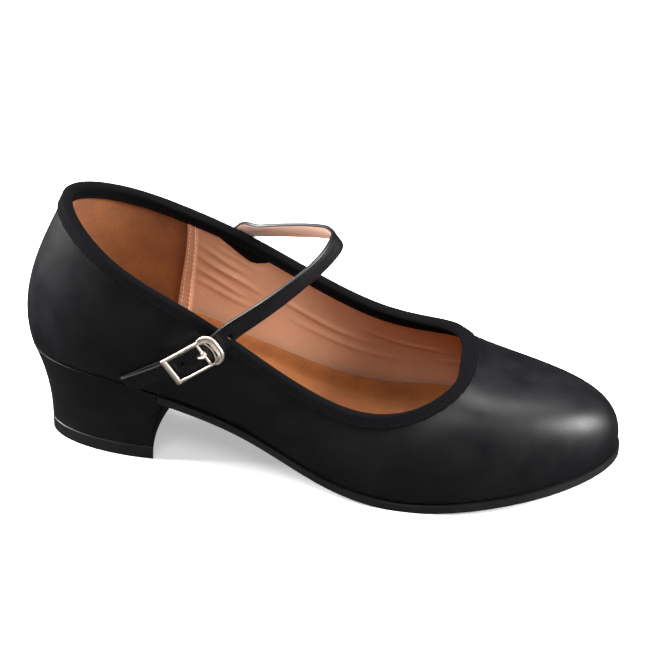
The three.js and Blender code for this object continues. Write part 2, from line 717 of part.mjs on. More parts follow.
// The prong turns on the bar and its point bends round into the strap's hole on one arc.
const sleeveInner = barRadius + sleeveRoom;
const sleeveProfile = [
  [sleeveInner, -1.2], [sleeveOuter, -1.2], [sleeveOuter, 1.2], [sleeveInner, 1.2], [sleeveInner, -1.2],
];
const sleeve = new THREE.LatheGeometry(sleeveProfile.map(([r, y]) => new THREE.Vector2(r, y)), 20);
sleeve.translate(crossBarAt, 0, barZ);
const prongArc = [[1, 150], [2.6, 152], [3.6, 160], ...stationsOf(170, 221, 5).map((a) => [prongReach, a])];
const prongPoints = prongArc.map(([r, degrees]) => {
  const angle = radians(degrees);
  return vec(crossBarAt + r * Math.cos(angle), 0, barZ + r * Math.sin(angle));
});

function wire(points, radius) {
  const rings = points.map((p, i) => {
    const before = points[Math.max(i - 1, 0)];
    const after = points[Math.min(i + 1, points.length - 1)];
    const along = after.clone().sub(before).normalize();
    const side = vec(0, 1, 0);
    const up = along.clone().cross(side);
    return stationsOf(0, 0.875, 7).map((turn) => p.clone()
      .addScaledVector(side, radius * Math.cos(turn * 2 * Math.PI))
      .addScaledVector(up, radius * Math.sin(turn * 2 * Math.PI)));
  });
  return loft(rings);
}
addPiece('buckle_prong', join(geometryOf(manifoldOf(sleeve)), [wire(prongPoints, prongRadius)]), nickel, buckle);

// ---- Chape: the short fixed strap under the tail, with an elastic loop for the buckle's bar ----
const chapeStand = gap + upperThickness / 2;
const chapeEnd = fromBuckle(-3);
const chapeControls = sideRun([
  [tail.x - 2, tail.z - 1.5, chapeStand], [keeper.x, keeper.z, chapeStand], [chapeEnd.x, chapeEnd.z, chapeStand],
], -1);
const chapeFrames = runFrames(chapeControls, 0, 0, 14);
addPiece('chape_strap', strip(chapeFrames, -upperThickness / 2, upperThickness / 2, strapWidth - 0.8), blackLeather);

const tape = 0.4;
const tapeTop = -strapHalf - 0.2;
const tapeBottom = bladeZ - bladeThickness / 2 - 0.2;
const loopEnd = bladeX + 0.7 + 0.3;
const elasticOutline = new THREE.Shape();
elasticOutline.moveTo(-9, tapeTop - tape);
elasticOutline.lineTo(-9, tapeTop);
elasticOutline.lineTo(loopEnd, tapeTop);
elasticOutline.lineTo(loopEnd + tape, tapeTop - tape);
elasticOutline.lineTo(loopEnd + tape, tapeBottom);
elasticOutline.lineTo(loopEnd, tapeBottom - tape);
elasticOutline.lineTo(-2.4, tapeBottom - tape);
elasticOutline.lineTo(-2.4, tapeBottom);
elasticOutline.lineTo(loopEnd, tapeBottom);
elasticOutline.lineTo(loopEnd, tapeTop - tape);
const elasticWidth = strapWidth - 1.5;
const elastic = new THREE.ExtrudeGeometry(elasticOutline, { depth: elasticWidth, bevelEnabled: false });
elastic.rotateX(Math.PI / 2);
elastic.translate(0, elasticWidth / 2, 0);
addPiece('chape_elastic', geometryOf(manifoldOf(elastic)), blackLeather, buckle);

export default shoe;
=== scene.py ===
import math

import bpy
import numpy as np
from mathutils import Matrix, Vector


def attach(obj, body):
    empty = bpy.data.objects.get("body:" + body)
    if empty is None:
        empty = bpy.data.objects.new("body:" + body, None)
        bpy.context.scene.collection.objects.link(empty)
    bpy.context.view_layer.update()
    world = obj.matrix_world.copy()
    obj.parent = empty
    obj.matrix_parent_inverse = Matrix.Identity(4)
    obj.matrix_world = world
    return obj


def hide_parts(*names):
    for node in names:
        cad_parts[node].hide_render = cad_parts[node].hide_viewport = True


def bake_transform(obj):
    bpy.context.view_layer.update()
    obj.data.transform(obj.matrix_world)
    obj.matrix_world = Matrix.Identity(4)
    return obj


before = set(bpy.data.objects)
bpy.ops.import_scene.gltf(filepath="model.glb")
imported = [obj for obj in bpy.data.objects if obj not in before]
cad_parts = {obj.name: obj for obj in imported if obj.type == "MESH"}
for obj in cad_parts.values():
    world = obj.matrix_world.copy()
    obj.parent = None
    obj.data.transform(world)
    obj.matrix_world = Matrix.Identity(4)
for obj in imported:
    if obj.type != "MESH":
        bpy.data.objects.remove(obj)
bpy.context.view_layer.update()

# ---- Camera, floor and lights ----
# A long lens looks down on the shoe from in front of its outer side. The floor is plain and
# pale, and large soft boxes stand over the shoe, to its left and behind it.
turn, rise, tilt = (math.radians(a) for a in (8.16, 32.0, 0.82))
aim = Vector((0.09276, 0.0, 0.06032))
back = Vector((math.sin(turn) * math.cos(rise), -math.cos(turn) * math.cos(rise), math.sin(rise)))
level = Vector((math.cos(turn), math.sin(turn), 0))
upright = back.cross(level)
right = level * math.cos(tilt) + upright * math.sin(tilt)
above = upright * math.cos(tilt) - level * math.sin(tilt)
camera_data = bpy.data.cameras.new("camera")
camera_data.lens = 154.67
camera_data.sensor_width = 36
camera = bpy.data.objects.new("camera", camera_data)
bpy.context.scene.collection.objects.link(camera)
stand_off = Matrix.Translation(aim + back * 1.14775)
camera.matrix_world = stand_off @ Matrix((right, above, back)).transposed().to_4x4()
bpy.context.scene.camera = camera


def linear(hex_colour):
    """An sRGB hex colour as linear red, green, blue and alpha."""
    shares = [int(hex_colour[i:i + 2], 16) / 255 for i in (1, 3, 5)]
    return (*[s / 12.92 if s <= 0.04045 else ((s + 0.055) / 1.055) ** 2.4 for s in shares], 1.0)


def add(tree, kind, inputs=None, **settings):
    """Adds one node with its settings. inputs maps a socket to a value or to another node's socket."""
    made = tree.nodes.new(kind)
    for name, value in settings.items():
        setattr(made, name, value)
    for socket, value in (inputs or {}).items():
        if isinstance(value, bpy.types.NodeSocket):
            tree.links.new(value, made.inputs[socket])
        else:
            made.inputs[socket].default_value = value
    return made


def new_material(name):
    """A material with an empty node tree."""
    made = bpy.data.materials.new(name)
    made.use_nodes = True
    made.node_tree.nodes.clear()
    return made, made.node_tree


def softbox(name, place, width, height, watts, aim=(0.09, 0, 0.04)):
    """A wide soft light at a place, turned towards a point on the shoe."""
    data = bpy.data.lights.new(name, "AREA")
    data.shape = "RECTANGLE"
    data.size = width
    data.size_y = height
    data.energy = watts
    lamp = bpy.data.objects.new(name, data)
    lamp.location = place
    lamp.rotation_euler = (Vector(aim) - Vector(place)).to_track_quat("-Z", "Y").to_euler()
    bpy.context.scene.collection.objects.link(lamp)
    return lamp


softbox("overhead_box", (0.15, 0.30, 1.3), 1.2, 0.8, 23)
softbox("left_box", (-1.2, 0.1, 0.8), 0.7, 0.9, 90)
softbox("front_box", (0.0, -1.1, 1.6), 0.9, 0.6, 12)
softbox("toe_box", (1.3, -0.1, 0.6), 0.5, 0.6, 42)

world = bpy.data.worlds.new("studio")
bpy.context.scene.world = world
world.use_nodes = True
world.node_tree.nodes["Background"].inputs["Color"].default_value = linear("#ffffff")
world.node_tree.nodes["Background"].inputs["Strength"].default_value = 0.035
bpy.context.scene.view_settings.view_transform = "Standard"

floor_mesh = bpy.data.meshes.new("floor")
floor_mesh.from_pydata([(-4, -4, 0), (4, -4, 0), (4, 4, 0), (-4, 4, 0)], [], [(0, 1, 2, 3)])
floor = bpy.data.objects.new("floor", floor_mesh)
bpy.context.scene.collection.objects.link(floor)
white_paper, tree = new_material("white_paper")
paper = add(tree, "ShaderNodeBsdfPrincipled", {
    "Base Color": linear("#f7f7f7"), "Roughness": 0.6,
    "Emission Color": linear("#ffffff"), "Emission Strength": 0.42,
})
add(tree, "ShaderNodeOutputMaterial", {"Surface": paper.outputs[0]})
floor_mesh.materials.append(white_paper)
floor.visible_glossy = False  # the leather mirrors the dark studio, not the paper

# ---- The last: the wooden form that gives the shoe its shape ----
# Lengths here are millimetres from the heel's back edge forward, across to the inner side, and
# up from the ground. Twelve stations go round: heel back, outer side, toe, inner side.
SHOE_LENGTH = 247
ORIGIN = np.array([31, 0, 0])  # the middle of the heel's ground face, which is the model's origin
FEATHER_AT = [0, 8.5, 23.5, 42.5, 64.4, 86.6, 99.6, 91, 71, 44.5, 23.5, 8.5]
FEATHER_SIDE = [1, -24.5, -26.5, -30, -40, -31, 0, 31, 40, 29.5, 27.5, 25]
TOPLINE_AT = [6.5, 13.8, 25, 37.2, 57, 71.3, 73.7, 71.3, 57.5, 38.9, 25.5, 13.8]
TOPLINE_SIDE = [1, -24, -29, -31.5, -33.5, -22.5, 0, 23, 32, 31, 29, 24]
TOPLINE_RISE = [68, 58, 49.5, 42, 35, 43, 47, 47.8, 47.9, 53.3, 58.1, 61.4]
BELLY_PULL = [28, 19, 18, 18, 18, 23, 35.5, 22.5, 18, 18, 18, 18]
BELLY_LEAN = [14, 11, 12, 12, 12, 5, 8, 5, 12, 12, 12, 12]
MOUTH_PULL = [16.5, 19, 19, 19, 18, 18, 24, 24, 18, 18, 19, 18]
MOUTH_LEAN = [21, 12, 11, 9, 9, 60, 56, 42, 12, 9, 11, 10]
PROFILE_AT = [0, 11.3, 23.5, 38.5, 52.6, 66.8, 81, 95.1, 100]
SEAT_SHARE = [1, 1, 0.81, 0.5, 0.12, 0, 0, 0, 0]
TOE_SHARE = [0, 0, 0, 0, 0, 0, 0.33, 0.8, 1]
SEAT_HEIGHT = 43.6
BALL_REST = 3.5
TOE_SPRING = 10.1
STEP = 0.0005


def hermite(p, q, slope_p, slope_q, f):
    g = f * f
    h = g * f
    return (2 * h - 3 * g + 1) * p + (h - 2 * g + f) * slope_p + (3 * g - 2 * h) * q + (h - g) * slope_q


def ring_curve(values):
    """A smooth closed curve through values at even places; it takes the share of the way round."""
    values = np.array(values, float)
    count = len(values)
    eye = np.eye(count)
    system = 4 * eye + np.roll(eye, 1, 1) + np.roll(eye, -1, 1)
    slope = np.linalg.solve(system, 3 * (np.roll(values, -1) - np.roll(values, 1)))

    def at(u):
        s = np.mod(u, 1.0) * count
        i = np.floor(s).astype(int) % count
        j = (i + 1) % count
        return hermite(values[i], values[j], slope[i], slope[j], s - np.floor(s))
    return at


def open_curve(places, values):
    """A smooth curve through values at given places, straight beyond its ends."""
    places = np.array(places, float)
    values = np.array(values, float)
    span = np.diff(places)
    rises = np.diff(values) / span
    count = len(places)
    system = np.zeros((count, count))
    pull = np.zeros(count)
    system[0, :2] = 2, 1
    pull[0] = 3 * rises[0]
    system[-1, -2:] = 1, 2
    pull[-1] = 3 * rises[-1]
    for i in range(1, count - 1):
        before, after = 1 / span[i - 1], 1 / span[i]
        system[i, i - 1:i + 2] = before, 2 * (before + after), after
        pull[i] = 3 * (rises[i - 1] * before + rises[i] * after)
    slope = np.linalg.solve(system, pull)

    def at(x):
        x = np.asarray(x, float)
        i = np.clip(np.searchsorted(places, x) - 1, 0, count - 2)
        f = (x - places[i]) / span[i]
        start, end = slope[i] * span[i], slope[i + 1] * span[i]
        inside = hermite(values[i], values[i + 1], start, end, np.clip(f, 0, 1))
        low = slope[0] * np.minimum(x - places[0], 0)
        high = slope[-1] * np.maximum(x - places[-1], 0)
        return inside + low + high
    return at


per_cent = SHOE_LENGTH / 100
profile = open_curve(
    np.array(PROFILE_AT) * per_cent,
    BALL_REST + np.array(SEAT_SHARE) * (SEAT_HEIGHT - BALL_REST) + np.array(TOE_SHARE) * TOE_SPRING,
)
feather_x = ring_curve(np.array(FEATHER_AT) * per_cent)
feather_y = ring_curve(FEATHER_SIDE)
topline_x = ring_curve(np.array(TOPLINE_AT) * per_cent)
topline_y = ring_curve(TOPLINE_SIDE)
topline_z = ring_curve(np.array(TOPLINE_RISE) + profile(np.array(TOPLINE_AT) * per_cent))
belly_pull, belly_lean = ring_curve(BELLY_PULL), ring_curve(BELLY_LEAN)
mouth_pull, mouth_lean = ring_curve(MOUTH_PULL), ring_curve(MOUTH_LEAN)


def unit(v):
    return v / np.linalg.norm(v, axis=-1, keepdims=True)


def feather_point(u):
    x = feather_x(u)
    return np.stack([x, feather_y(u), profile(x)], -1)


def feather_out(u):
    dx = feather_x(u + STEP) - feather_x(u - STEP)
    dy = feather_y(u + STEP) - feather_y(u - STEP)
    return unit(np.stack([dy, -dx, np.zeros_like(dx)], -1))


def upper_point(u, v):
    """u is the share of the way round from the heel's back, v runs from the sole's edge to the topline."""
    u, v = np.broadcast_arrays(np.asarray(u, float), np.asarray(v, float))
    foot = feather_point(u)
    top = np.stack([topline_x(u), topline_y(u), topline_z(u)], -1)
    out = feather_out(u)
    up = np.array([0.0, 0.0, 1.0])
    low_lean = np.radians(belly_lean(u))[..., None]
    high_lean = np.radians(mouth_lean(u))[..., None]
    low = foot + belly_pull(u)[..., None] * (np.sin(low_lean) * out + np.cos(low_lean) * up)
    high = top + mouth_pull(u)[..., None] * (np.sin(high_lean) * out - np.cos(high_lean) * up)
    v = v[..., None]
    w = 1 - v
    return w ** 3 * foot + 3 * w * w * v * low + 3 * w * v * v * high + v ** 3 * top


def upper_normal(u, v):
    u, v = np.asarray(u, float), np.asarray(v, float)
    along = upper_point(u + STEP, v) - upper_point(u - STEP, v)
    up = upper_point(u, v + STEP) - upper_point(u, v - STEP)
    return unit(np.cross(along, up))


def layer_point(u, v, depth):
    """A point at a depth under the upper's outside."""
    return upper_point(u, v) - upper_normal(u, v) * np.asarray(depth, float)[..., None]


def smooth(x, low, high):
    t = np.clip((x - low) / (high - low), 0, 1)
    return t * t * (3 - 2 * t)


# ---- Upper ----
# One piece of black calf leather, pulled wet over the last, turned in under the insole and
# cemented there. Smooth and lightly waxed, with a fine pore grain and a soft sheen.
def make_object(name, points, faces, uvs, material, sharp=38):
    """A mesh object from points in millimetres, faces, and a texture place in metres for each corner."""
    mesh = bpy.data.meshes.new(name)
    mesh.from_pydata(((np.asarray(points) - ORIGIN) * 0.001).tolist(), [], faces)
    layer = mesh.uv_layers.new(name="UVMap")
    layer.data.foreach_set("uv", (np.asarray(uvs, float) * 0.001).ravel())
    mesh.materials.append(material)
    mesh.shade_smooth()
    mesh.set_sharp_from_angle(angle=math.radians(sharp))
    made = bpy.data.objects.new(name, mesh)
    bpy.context.scene.collection.objects.link(made)
    return made


def faces_out(points, quads):
    """True if the quads of a closed skin face outwards."""
    a, b, c, d = (points[quads[:, i]] - points.mean(0) for i in range(4))
    return (a * (np.cross(b, c) + np.cross(c, d))).sum() > 0


def loft(name, rings, material, joined=False, sharp=38):
    """A closed skin through a row of like sections, capped at its ends or joined into a ring."""
    rings = np.asarray(rings, float)
    count, size = rings.shape[:2]
    points = rings.reshape(-1, 3)
    run = np.linalg.norm(np.roll(rings, -1, 0) - rings, axis=2).mean(1)
    run = np.concatenate([[0], np.cumsum(run)])
    girth = np.linalg.norm(np.roll(rings, -1, 1) - rings, axis=2).mean(0)
    girth = np.concatenate([[0], np.cumsum(girth)])
    i = np.arange(count if joined else count - 1)[:, None]
    j = np.arange(size)[None, :]
    near, far, k = i * size, (i + 1) % count * size, (j + 1) % size
    quads = np.stack([near + j, far + j, far + k, near + k], -1).reshape(-1, 4)
    across = np.stack([run[i] + 0 * j, run[i + 1] + 0 * j, run[i + 1] + 0 * j, run[i] + 0 * j], -1)
    up = np.stack([girth[j] + 0 * i, girth[j] + 0 * i, girth[j + 1] + 0 * i, girth[j + 1] + 0 * i], -1)
    corners = np.stack([across, up], -1).reshape(-1, 4, 2)
    outward = faces_out(points, quads)
    if not outward:
        quads, corners = quads[:, ::-1], corners[:, ::-1]
    faces, uvs = quads.tolist(), corners.reshape(-1, 2).tolist()
    if not joined:
        first, last = list(range(size)), [(count - 1) * size + m for m in reversed(range(size))]
        for cap in (first, last):
            faces.append(cap if outward else cap[::-1])
            uvs += [(0.0, 0.0)] * size
    return make_object(name, points, faces, uvs, material, sharp)


def leather(name, colour, worn, roughness, pore, relief, place="Object", shine=0.5):
    """Finished leather: pores of a real size in millimetres, and a slow change in colour and gloss."""
    material, tree = new_material(name)
    where = add(tree, "ShaderNodeTexCoord").outputs[place]
    cells = add(tree, "ShaderNodeTexVoronoi", {"Vector": where, "Scale": 1000 / pore, "Randomness": 1.0},
                feature="SMOOTH_F1")
    cells.inputs["Smoothness"].default_value = 0.35
    slow = add(tree, "ShaderNodeTexNoise", {"Vector": where, "Scale": 90, "Detail": 3, "Roughness": 0.55})
    fine = add(tree, "ShaderNodeTexNoise", {"Vector": where, "Scale": 2600, "Detail": 2})
    tint = add(tree, "ShaderNodeMix", {"Factor": slow.outputs["Fac"], 6: linear(colour), 7: linear(worn)},
               data_type="RGBA")
    gloss = add(tree, "ShaderNodeMapRange", {
        "Value": slow.outputs["Fac"], "From Min": 0.3, "From Max": 0.7,
        "To Min": roughness - 0.05, "To Max": roughness + 0.06,
    })
    height = add(tree, "ShaderNodeMath", {0: cells.outputs["Distance"], 1: fine.outputs["Fac"]},
                 operation="ADD")
    bump = add(tree, "ShaderNodeBump", {
        "Strength": 0.5, "Distance": relief * 0.001, "Height": height.outputs[0],
    })
    skin = add(tree, "ShaderNodeBsdfPrincipled", {
        "Base Color": tint.outputs[2], "Roughness": gloss.outputs[0], "Normal": bump.outputs[0],
        "IOR": 1.5, "Specular IOR Level": shine,
    })
    add(tree, "ShaderNodeOutputMaterial", {"Surface": skin.outputs[0]})
    return material


UPPER_THICKNESS = 1.2
MARGIN = 12
calf_leather = leather("calf_leather", "#070709", "#0d0d10", 0.42, 0.7, 0.035, shine=0.33)

round_count = 300
around = np.arange(round_count) / round_count
side_rows = np.concatenate([np.linspace(0.03, 0.2, 6), np.linspace(0.23, 1, 34)])


def section_of_upper(u):
    outside = upper_point(u, side_rows)
    inside = layer_point(u, np.linspace(1, 0.08, 14), UPPER_THICKNESS)
    foot, out = feather_point(u), feather_out(u)

    def turned(inset, lift):
        p = foot - out * inset
        return np.array([p[0], p[1], profile(p[0]) + lift])
    under = turned(1.6, 0)
    fold = [(1 - t) ** 2 * under + 2 * t * (1 - t) * foot + t * t * outside[0] for t in (0, 0.25, 0.5, 0.75)]
    hem = [turned(2, UPPER_THICKNESS), turned(MARGIN, UPPER_THICKNESS), turned(MARGIN, 0), turned(6, 0)]
    return [*outside, *inside, *hem, *fold]


upper = loft("calf_upper", [section_of_upper(u) for u in around], calf_leather, joined=True)
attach(upper, "root")
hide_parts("upper")

# ---- Lining ----
# The back third is a grip of brushed tan suede. The front is soft pink-beige goatskin, laid
# over the grip's edge at each side with two rows of thread, and slightly creased by the last.
LINING_DEPTH = 2.3
WALL_DEPTH = 3.0
GRIP_EDGE = 0.171
LINING_EDGE = 0.163
LAP_RISE = 0.62  # how far the goatskin stands in over the grip's edge


def suede(name, colour, deep, nap, place="Object"):
    """Brushed leather: a soft nap that scatters light and is darker where it is rubbed."""
    material, tree = new_material(name)
    where = add(tree, "ShaderNodeTexCoord").outputs[place]
    fibres = add(tree, "ShaderNodeTexNoise", {
        "Vector": where, "Scale": 1000 / nap, "Detail": 4, "Roughness": 0.7,
    })
    rubbed = add(tree, "ShaderNodeTexNoise", {"Vector": where, "Scale": 60, "Detail": 3})
    both = add(tree, "ShaderNodeMath", {0: fibres.outputs["Fac"], 1: rubbed.outputs["Fac"]},
               operation="MULTIPLY")
    share = add(tree, "ShaderNodeMapRange", {"Value": both.outputs[0], "From Min": 0.12, "From Max": 0.4})
    tint = add(tree, "ShaderNodeMix", {"Factor": share.outputs[0], 6: linear(deep), 7: linear(colour)},
               data_type="RGBA")
    bump = add(tree, "ShaderNodeBump", {
        "Strength": 0.6, "Distance": 0.00015, "Height": fibres.outputs["Fac"],
    })
    skin = add(tree, "ShaderNodeBsdfPrincipled", {
        "Base Color": tint.outputs[2], "Roughness": 0.95, "Normal": bump.outputs[0],
        "Sheen Weight": 0.25, "Sheen Roughness": 0.45, "Specular IOR Level": 0.2,
    })
    add(tree, "ShaderNodeOutputMaterial", {"Surface": skin.outputs[0]})
    return material


tan_suede = suede("tan_suede", "#94582c", "#6c3e1e", 0.5)
goatskin = leather("goatskin_lining", "#c89779", "#b88466", 0.42, 1.1, 0.08)


def curved_sheet(name, us, vs, face, back, material):
    """A sheet inside the shoe: face and back give its depths under the outside at each (u, v)."""
    u, v = np.meshgrid(us, vs, indexing="ij")
    front = layer_point(u, v, face(u, v))
    behind = layer_point(u, v, back(u, v))
    return loft(name, np.concatenate([front, behind[:, ::-1]], 1), material)


def crease(u, v, start, end, width, height):
    """One soft fold from start to end, as (u, v) places."""
    t = (u - start[0]) / (end[0] - start[0])
    line = start[1] + (end[1] - start[1]) * t + 0.004 * np.sin(9 * t + 40 * start[1])
    swell = np.sin(np.pi * np.clip(t, 0, 1)) ** 0.8
    return height * swell * np.exp(-((v - line) / (0.7 * width)) ** 2)


CREASES = [
    ((0.829, 0.76), (0.775, 0.66), 0.022, 0.55), ((0.829, 0.66), (0.765, 0.55), 0.026, 0.6),
    ((0.829, 0.56), (0.78, 0.46), 0.024, 0.5), ((0.829, 0.46), (0.77, 0.38), 0.022, 0.4),
    ((0.81, 0.80), (0.76, 0.74), 0.018, 0.3), ((0.76, 0.60), (0.69, 0.50), 0.035, 0.45),
    ((0.75, 0.45), (0.68, 0.38), 0.030, 0.4), ((0.70, 0.66), (0.63, 0.56), 0.040, 0.4),
    ((0.66, 0.44), (0.60, 0.36), 0.035, 0.4), ((0.62, 0.60), (0.56, 0.50), 0.045, 0.35),
    ((0.172, 0.70), (0.23, 0.60), 0.024, 0.45), ((0.172, 0.56), (0.24, 0.48), 0.026, 0.5),
    ((0.172, 0.42), (0.23, 0.36), 0.022, 0.4), ((0.25, 0.62), (0.32, 0.50), 0.035, 0.4),
    ((0.33, 0.50), (0.40, 0.42), 0.040, 0.4), ((0.42, 0.60), (0.50, 0.55), 0.045, 0.35),
]


def lining_face(u, v):
    lap = smooth(np.abs(u - 0.5), 0.3255, 0.3285)
    folds = sum(crease(u, v, *c) for c in CREASES)
    return WALL_DEPTH + LAP_RISE * lap + folds


def lining_back(u, v):
    lap = smooth(np.abs(u - 0.5), 0.3255, 0.3285)
    return np.where(lap > 0, mix_depth(lap), LINING_DEPTH)


def mix_depth(lap):
    return LINING_DEPTH + (WALL_DEPTH + 0.06 - LINING_DEPTH) * lap


grip_rows = np.linspace(0.04, 1, 26)
heel_grip = curved_sheet(
    "suede_heel_grip", np.linspace(-GRIP_EDGE, GRIP_EDGE, 110), grip_rows,
    lambda u, v: np.full_like(u, WALL_DEPTH), lambda u, v: np.full_like(u, LINING_DEPTH), tan_suede,
)
front_turns = np.concatenate([
    np.linspace(LINING_EDGE, 0.18, 14), np.linspace(0.182, 0.818, 220),
    np.linspace(0.82, 1 - LINING_EDGE, 14),
])
front_lining = curved_sheet(
    "goatskin_front", front_turns, np.linspace(0.04, 1, 60), lining_face, lining_back, goatskin,
)
for piece, node, slot in (
    (heel_grip, "heel_grip_lining", "tan_suede"), (front_lining, "vamp_lining", "pink_leather"),
):
    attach(piece, "root")
    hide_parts(node)


def thread(name, colour):
    """Waxed sewing thread: twisted, with a slight shine."""
    material, tree = new_material(name)
    where = add(tree, "ShaderNodeTexCoord").outputs["UV"]
    twist = add(tree, "ShaderNodeTexWave", {"Vector": where, "Scale": 900, "Distortion": 1.0},
                bands_direction="DIAGONAL")
    bump = add(tree, "ShaderNodeBump", {"Strength": 0.4, "Distance": 0.00006, "Height": twist.outputs["Fac"]})
    skin = add(tree, "ShaderNodeBsdfPrincipled", {
        "Base Color": linear(colour), "Roughness": 0.7, "Normal": bump.outputs[0], "Specular IOR Level": 0.15,
    })
    add(tree, "ShaderNodeOutputMaterial", {"Surface": skin.outputs[0]})
    return material


def stitches(name, rows, pitch, radius, material, fill=0.72):
    """Rows of separate stitches. Each row is (points, outward directions) along its seam."""
    points, faces, uvs = [], [], []
    for path, outward in rows:
        step = np.linalg.norm(np.diff(path, axis=0), axis=1)
        length = np.concatenate([[0], np.cumsum(step)])
        count = int(length[-1] / pitch)
        for i in range(count):
            middle = (i + 0.5) * length[-1] / count
            ends = (middle - pitch * fill / 2, middle + pitch * fill / 2)
            places = np.linspace(*ends, 5)
            line = np.stack([np.interp(places, length, path[:, k]) for k in range(3)], -1)
            out = unit(np.array([np.interp(middle, length, outward[:, k]) for k in range(3)]))
            along = unit(line[-1] - line[0])
            side = np.cross(along, out)
            start = len(points)
            for p, share, lift in zip(line, (0.35, 0.9, 1, 0.9, 0.35), (-0.7, 0.1, 0.4, 0.1, -0.7)):
                for a in np.arange(6) * math.pi / 3:
                    raised = out * radius * (lift + share * math.sin(a))
                    points.append(p + raised + side * radius * share * math.cos(a))
            for s in range(4):
                for a in range(6):
                    b = (a + 1) % 6
                    ring = start + s * 6
                    faces.append((ring + a, ring + b, ring + 6 + b, ring + 6 + a))
                    uvs += [(s, a), (s, a + 1), (s + 1, a + 1), (s + 1, a)]
            faces.append(tuple(start + a for a in reversed(range(6))))
            faces.append(tuple(start + 24 + a for a in range(6)))
            uvs += [(0, 0)] * 12
    points = np.array(points)
    if not faces_out(points[:30], np.array(faces[:24])):
        faces = [f[::-1] for f in faces]
    return make_object(name, points, faces, uvs, material, sharp=80)


lining_thread = thread("lining_thread", "#cfa186")
seam_rows = []
for u_seam in (0.8345, 0.8282, 0.1655, 0.1718):
    vs = np.linspace(0.1, 0.93, 60)
    lap = LAP_RISE + 0.02
    seam_rows.append((layer_point(u_seam, vs, np.full_like(vs, WALL_DEPTH + lap)), -upper_normal(u_seam, vs)))
lining_stitches = stitches("lining_stitches", seam_rows, 2.1, 0.24, lining_thread)
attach(lining_stitches, "root")

# ---- Stiffeners between the upper and the lining ----
# Moulded board round the heel and over the toe, which keep the shoe's shape. They are hidden.
def pressed_board(name, colour, dark, fibre):
    """Pressed fibre board or foam: dull all over, with flecks of a darker fibre or cell."""
    material, tree = new_material(name)
    where = add(tree, "ShaderNodeTexCoord").outputs["Object"]
    flecks = add(tree, "ShaderNodeTexNoise", {
        "Vector": where, "Scale": 1000 / fibre, "Detail": 5, "Roughness": 0.75,
    })
    tint = add(tree, "ShaderNodeMix", {"Factor": flecks.outputs["Fac"], 6: linear(dark), 7: linear(colour)},
               data_type="RGBA")
    bump = add(tree, "ShaderNodeBump", {"Strength": 0.4, "Distance": 0.0002, "Height": flecks.outputs["Fac"]})
    skin = add(tree, "ShaderNodeBsdfPrincipled", {
        "Base Color": tint.outputs[2], "Roughness": 0.9, "Normal": bump.outputs[0],
    })
    add(tree, "ShaderNodeOutputMaterial", {"Surface": skin.outputs[0]})
    return material


def finish_node(node, material):
    """Gives a carried-over CAD node its real finish."""
    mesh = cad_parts[node].data
    mesh.materials.clear()
    mesh.materials.append(material)


cellulose_board = pressed_board("cellulose_board", "#a08a68", "#7c6648", 1.2)
for node in ("heel_counter", "toe_puff", "insole_board", "bottom_filler"):
    finish_node(node, cellulose_board)

# ---- Topline binding ----
# Black ribbed tape, 13 mm wide before folding, doubled over the topline and sewn through with
# one row of black thread near its lower edge. Matte, with fine slanting ribs.
BINDING_WIDTH = 5
BINDING_THICKNESS = 0.6
CLEAR = 0.3


def ribbed_tape(name, rib):
    """Woven tape with slanting ribs; rib is their spacing in millimetres, coarse enough to show."""
    material, tree = new_material(name)
    where = add(tree, "ShaderNodeTexCoord").outputs["UV"]
    ribs = add(tree, "ShaderNodeTexWave", {
        "Vector": where, "Scale": 444.3 / rib, "Distortion": 0.6, "Detail": 1, "Detail Scale": 2.0,
    }, bands_direction="DIAGONAL")
    lint = add(tree, "ShaderNodeTexNoise", {"Vector": where, "Scale": 3000, "Detail": 3})
    tint = add(tree, "ShaderNodeMix", {
        "Factor": ribs.outputs["Fac"], 6: linear("#040405"), 7: linear("#0f0f11"),
    }, data_type="RGBA")
    height = add(tree, "ShaderNodeMath", {0: ribs.outputs["Fac"], 1: lint.outputs["Fac"]}, operation="ADD")
    bump = add(tree, "ShaderNodeBump", {"Strength": 0.7, "Distance": 0.00012, "Height": height.outputs[0]})
    skin = add(tree, "ShaderNodeBsdfPrincipled", {
        "Base Color": tint.outputs[2], "Roughness": 0.95, "Normal": bump.outputs[0],
        "Specular IOR Level": 0.05,
    })
    add(tree, "ShaderNodeOutputMaterial", {"Surface": skin.outputs[0]})
    return material


tape = ribbed_tape("ribbed_tape", 0.85)


def rim_point(u, below, depth):
    """A point below the topline's edge, or above it where the distance is negative."""
    if below >= 0:
        return layer_point(u, 1 - below / (3 * mouth_pull(u)), np.asarray(depth, float))
    up = unit(upper_point(u, 1.0) - upper_point(u, 1 - STEP))
    return layer_point(u, 1.0, np.asarray(depth, float)) - up * below


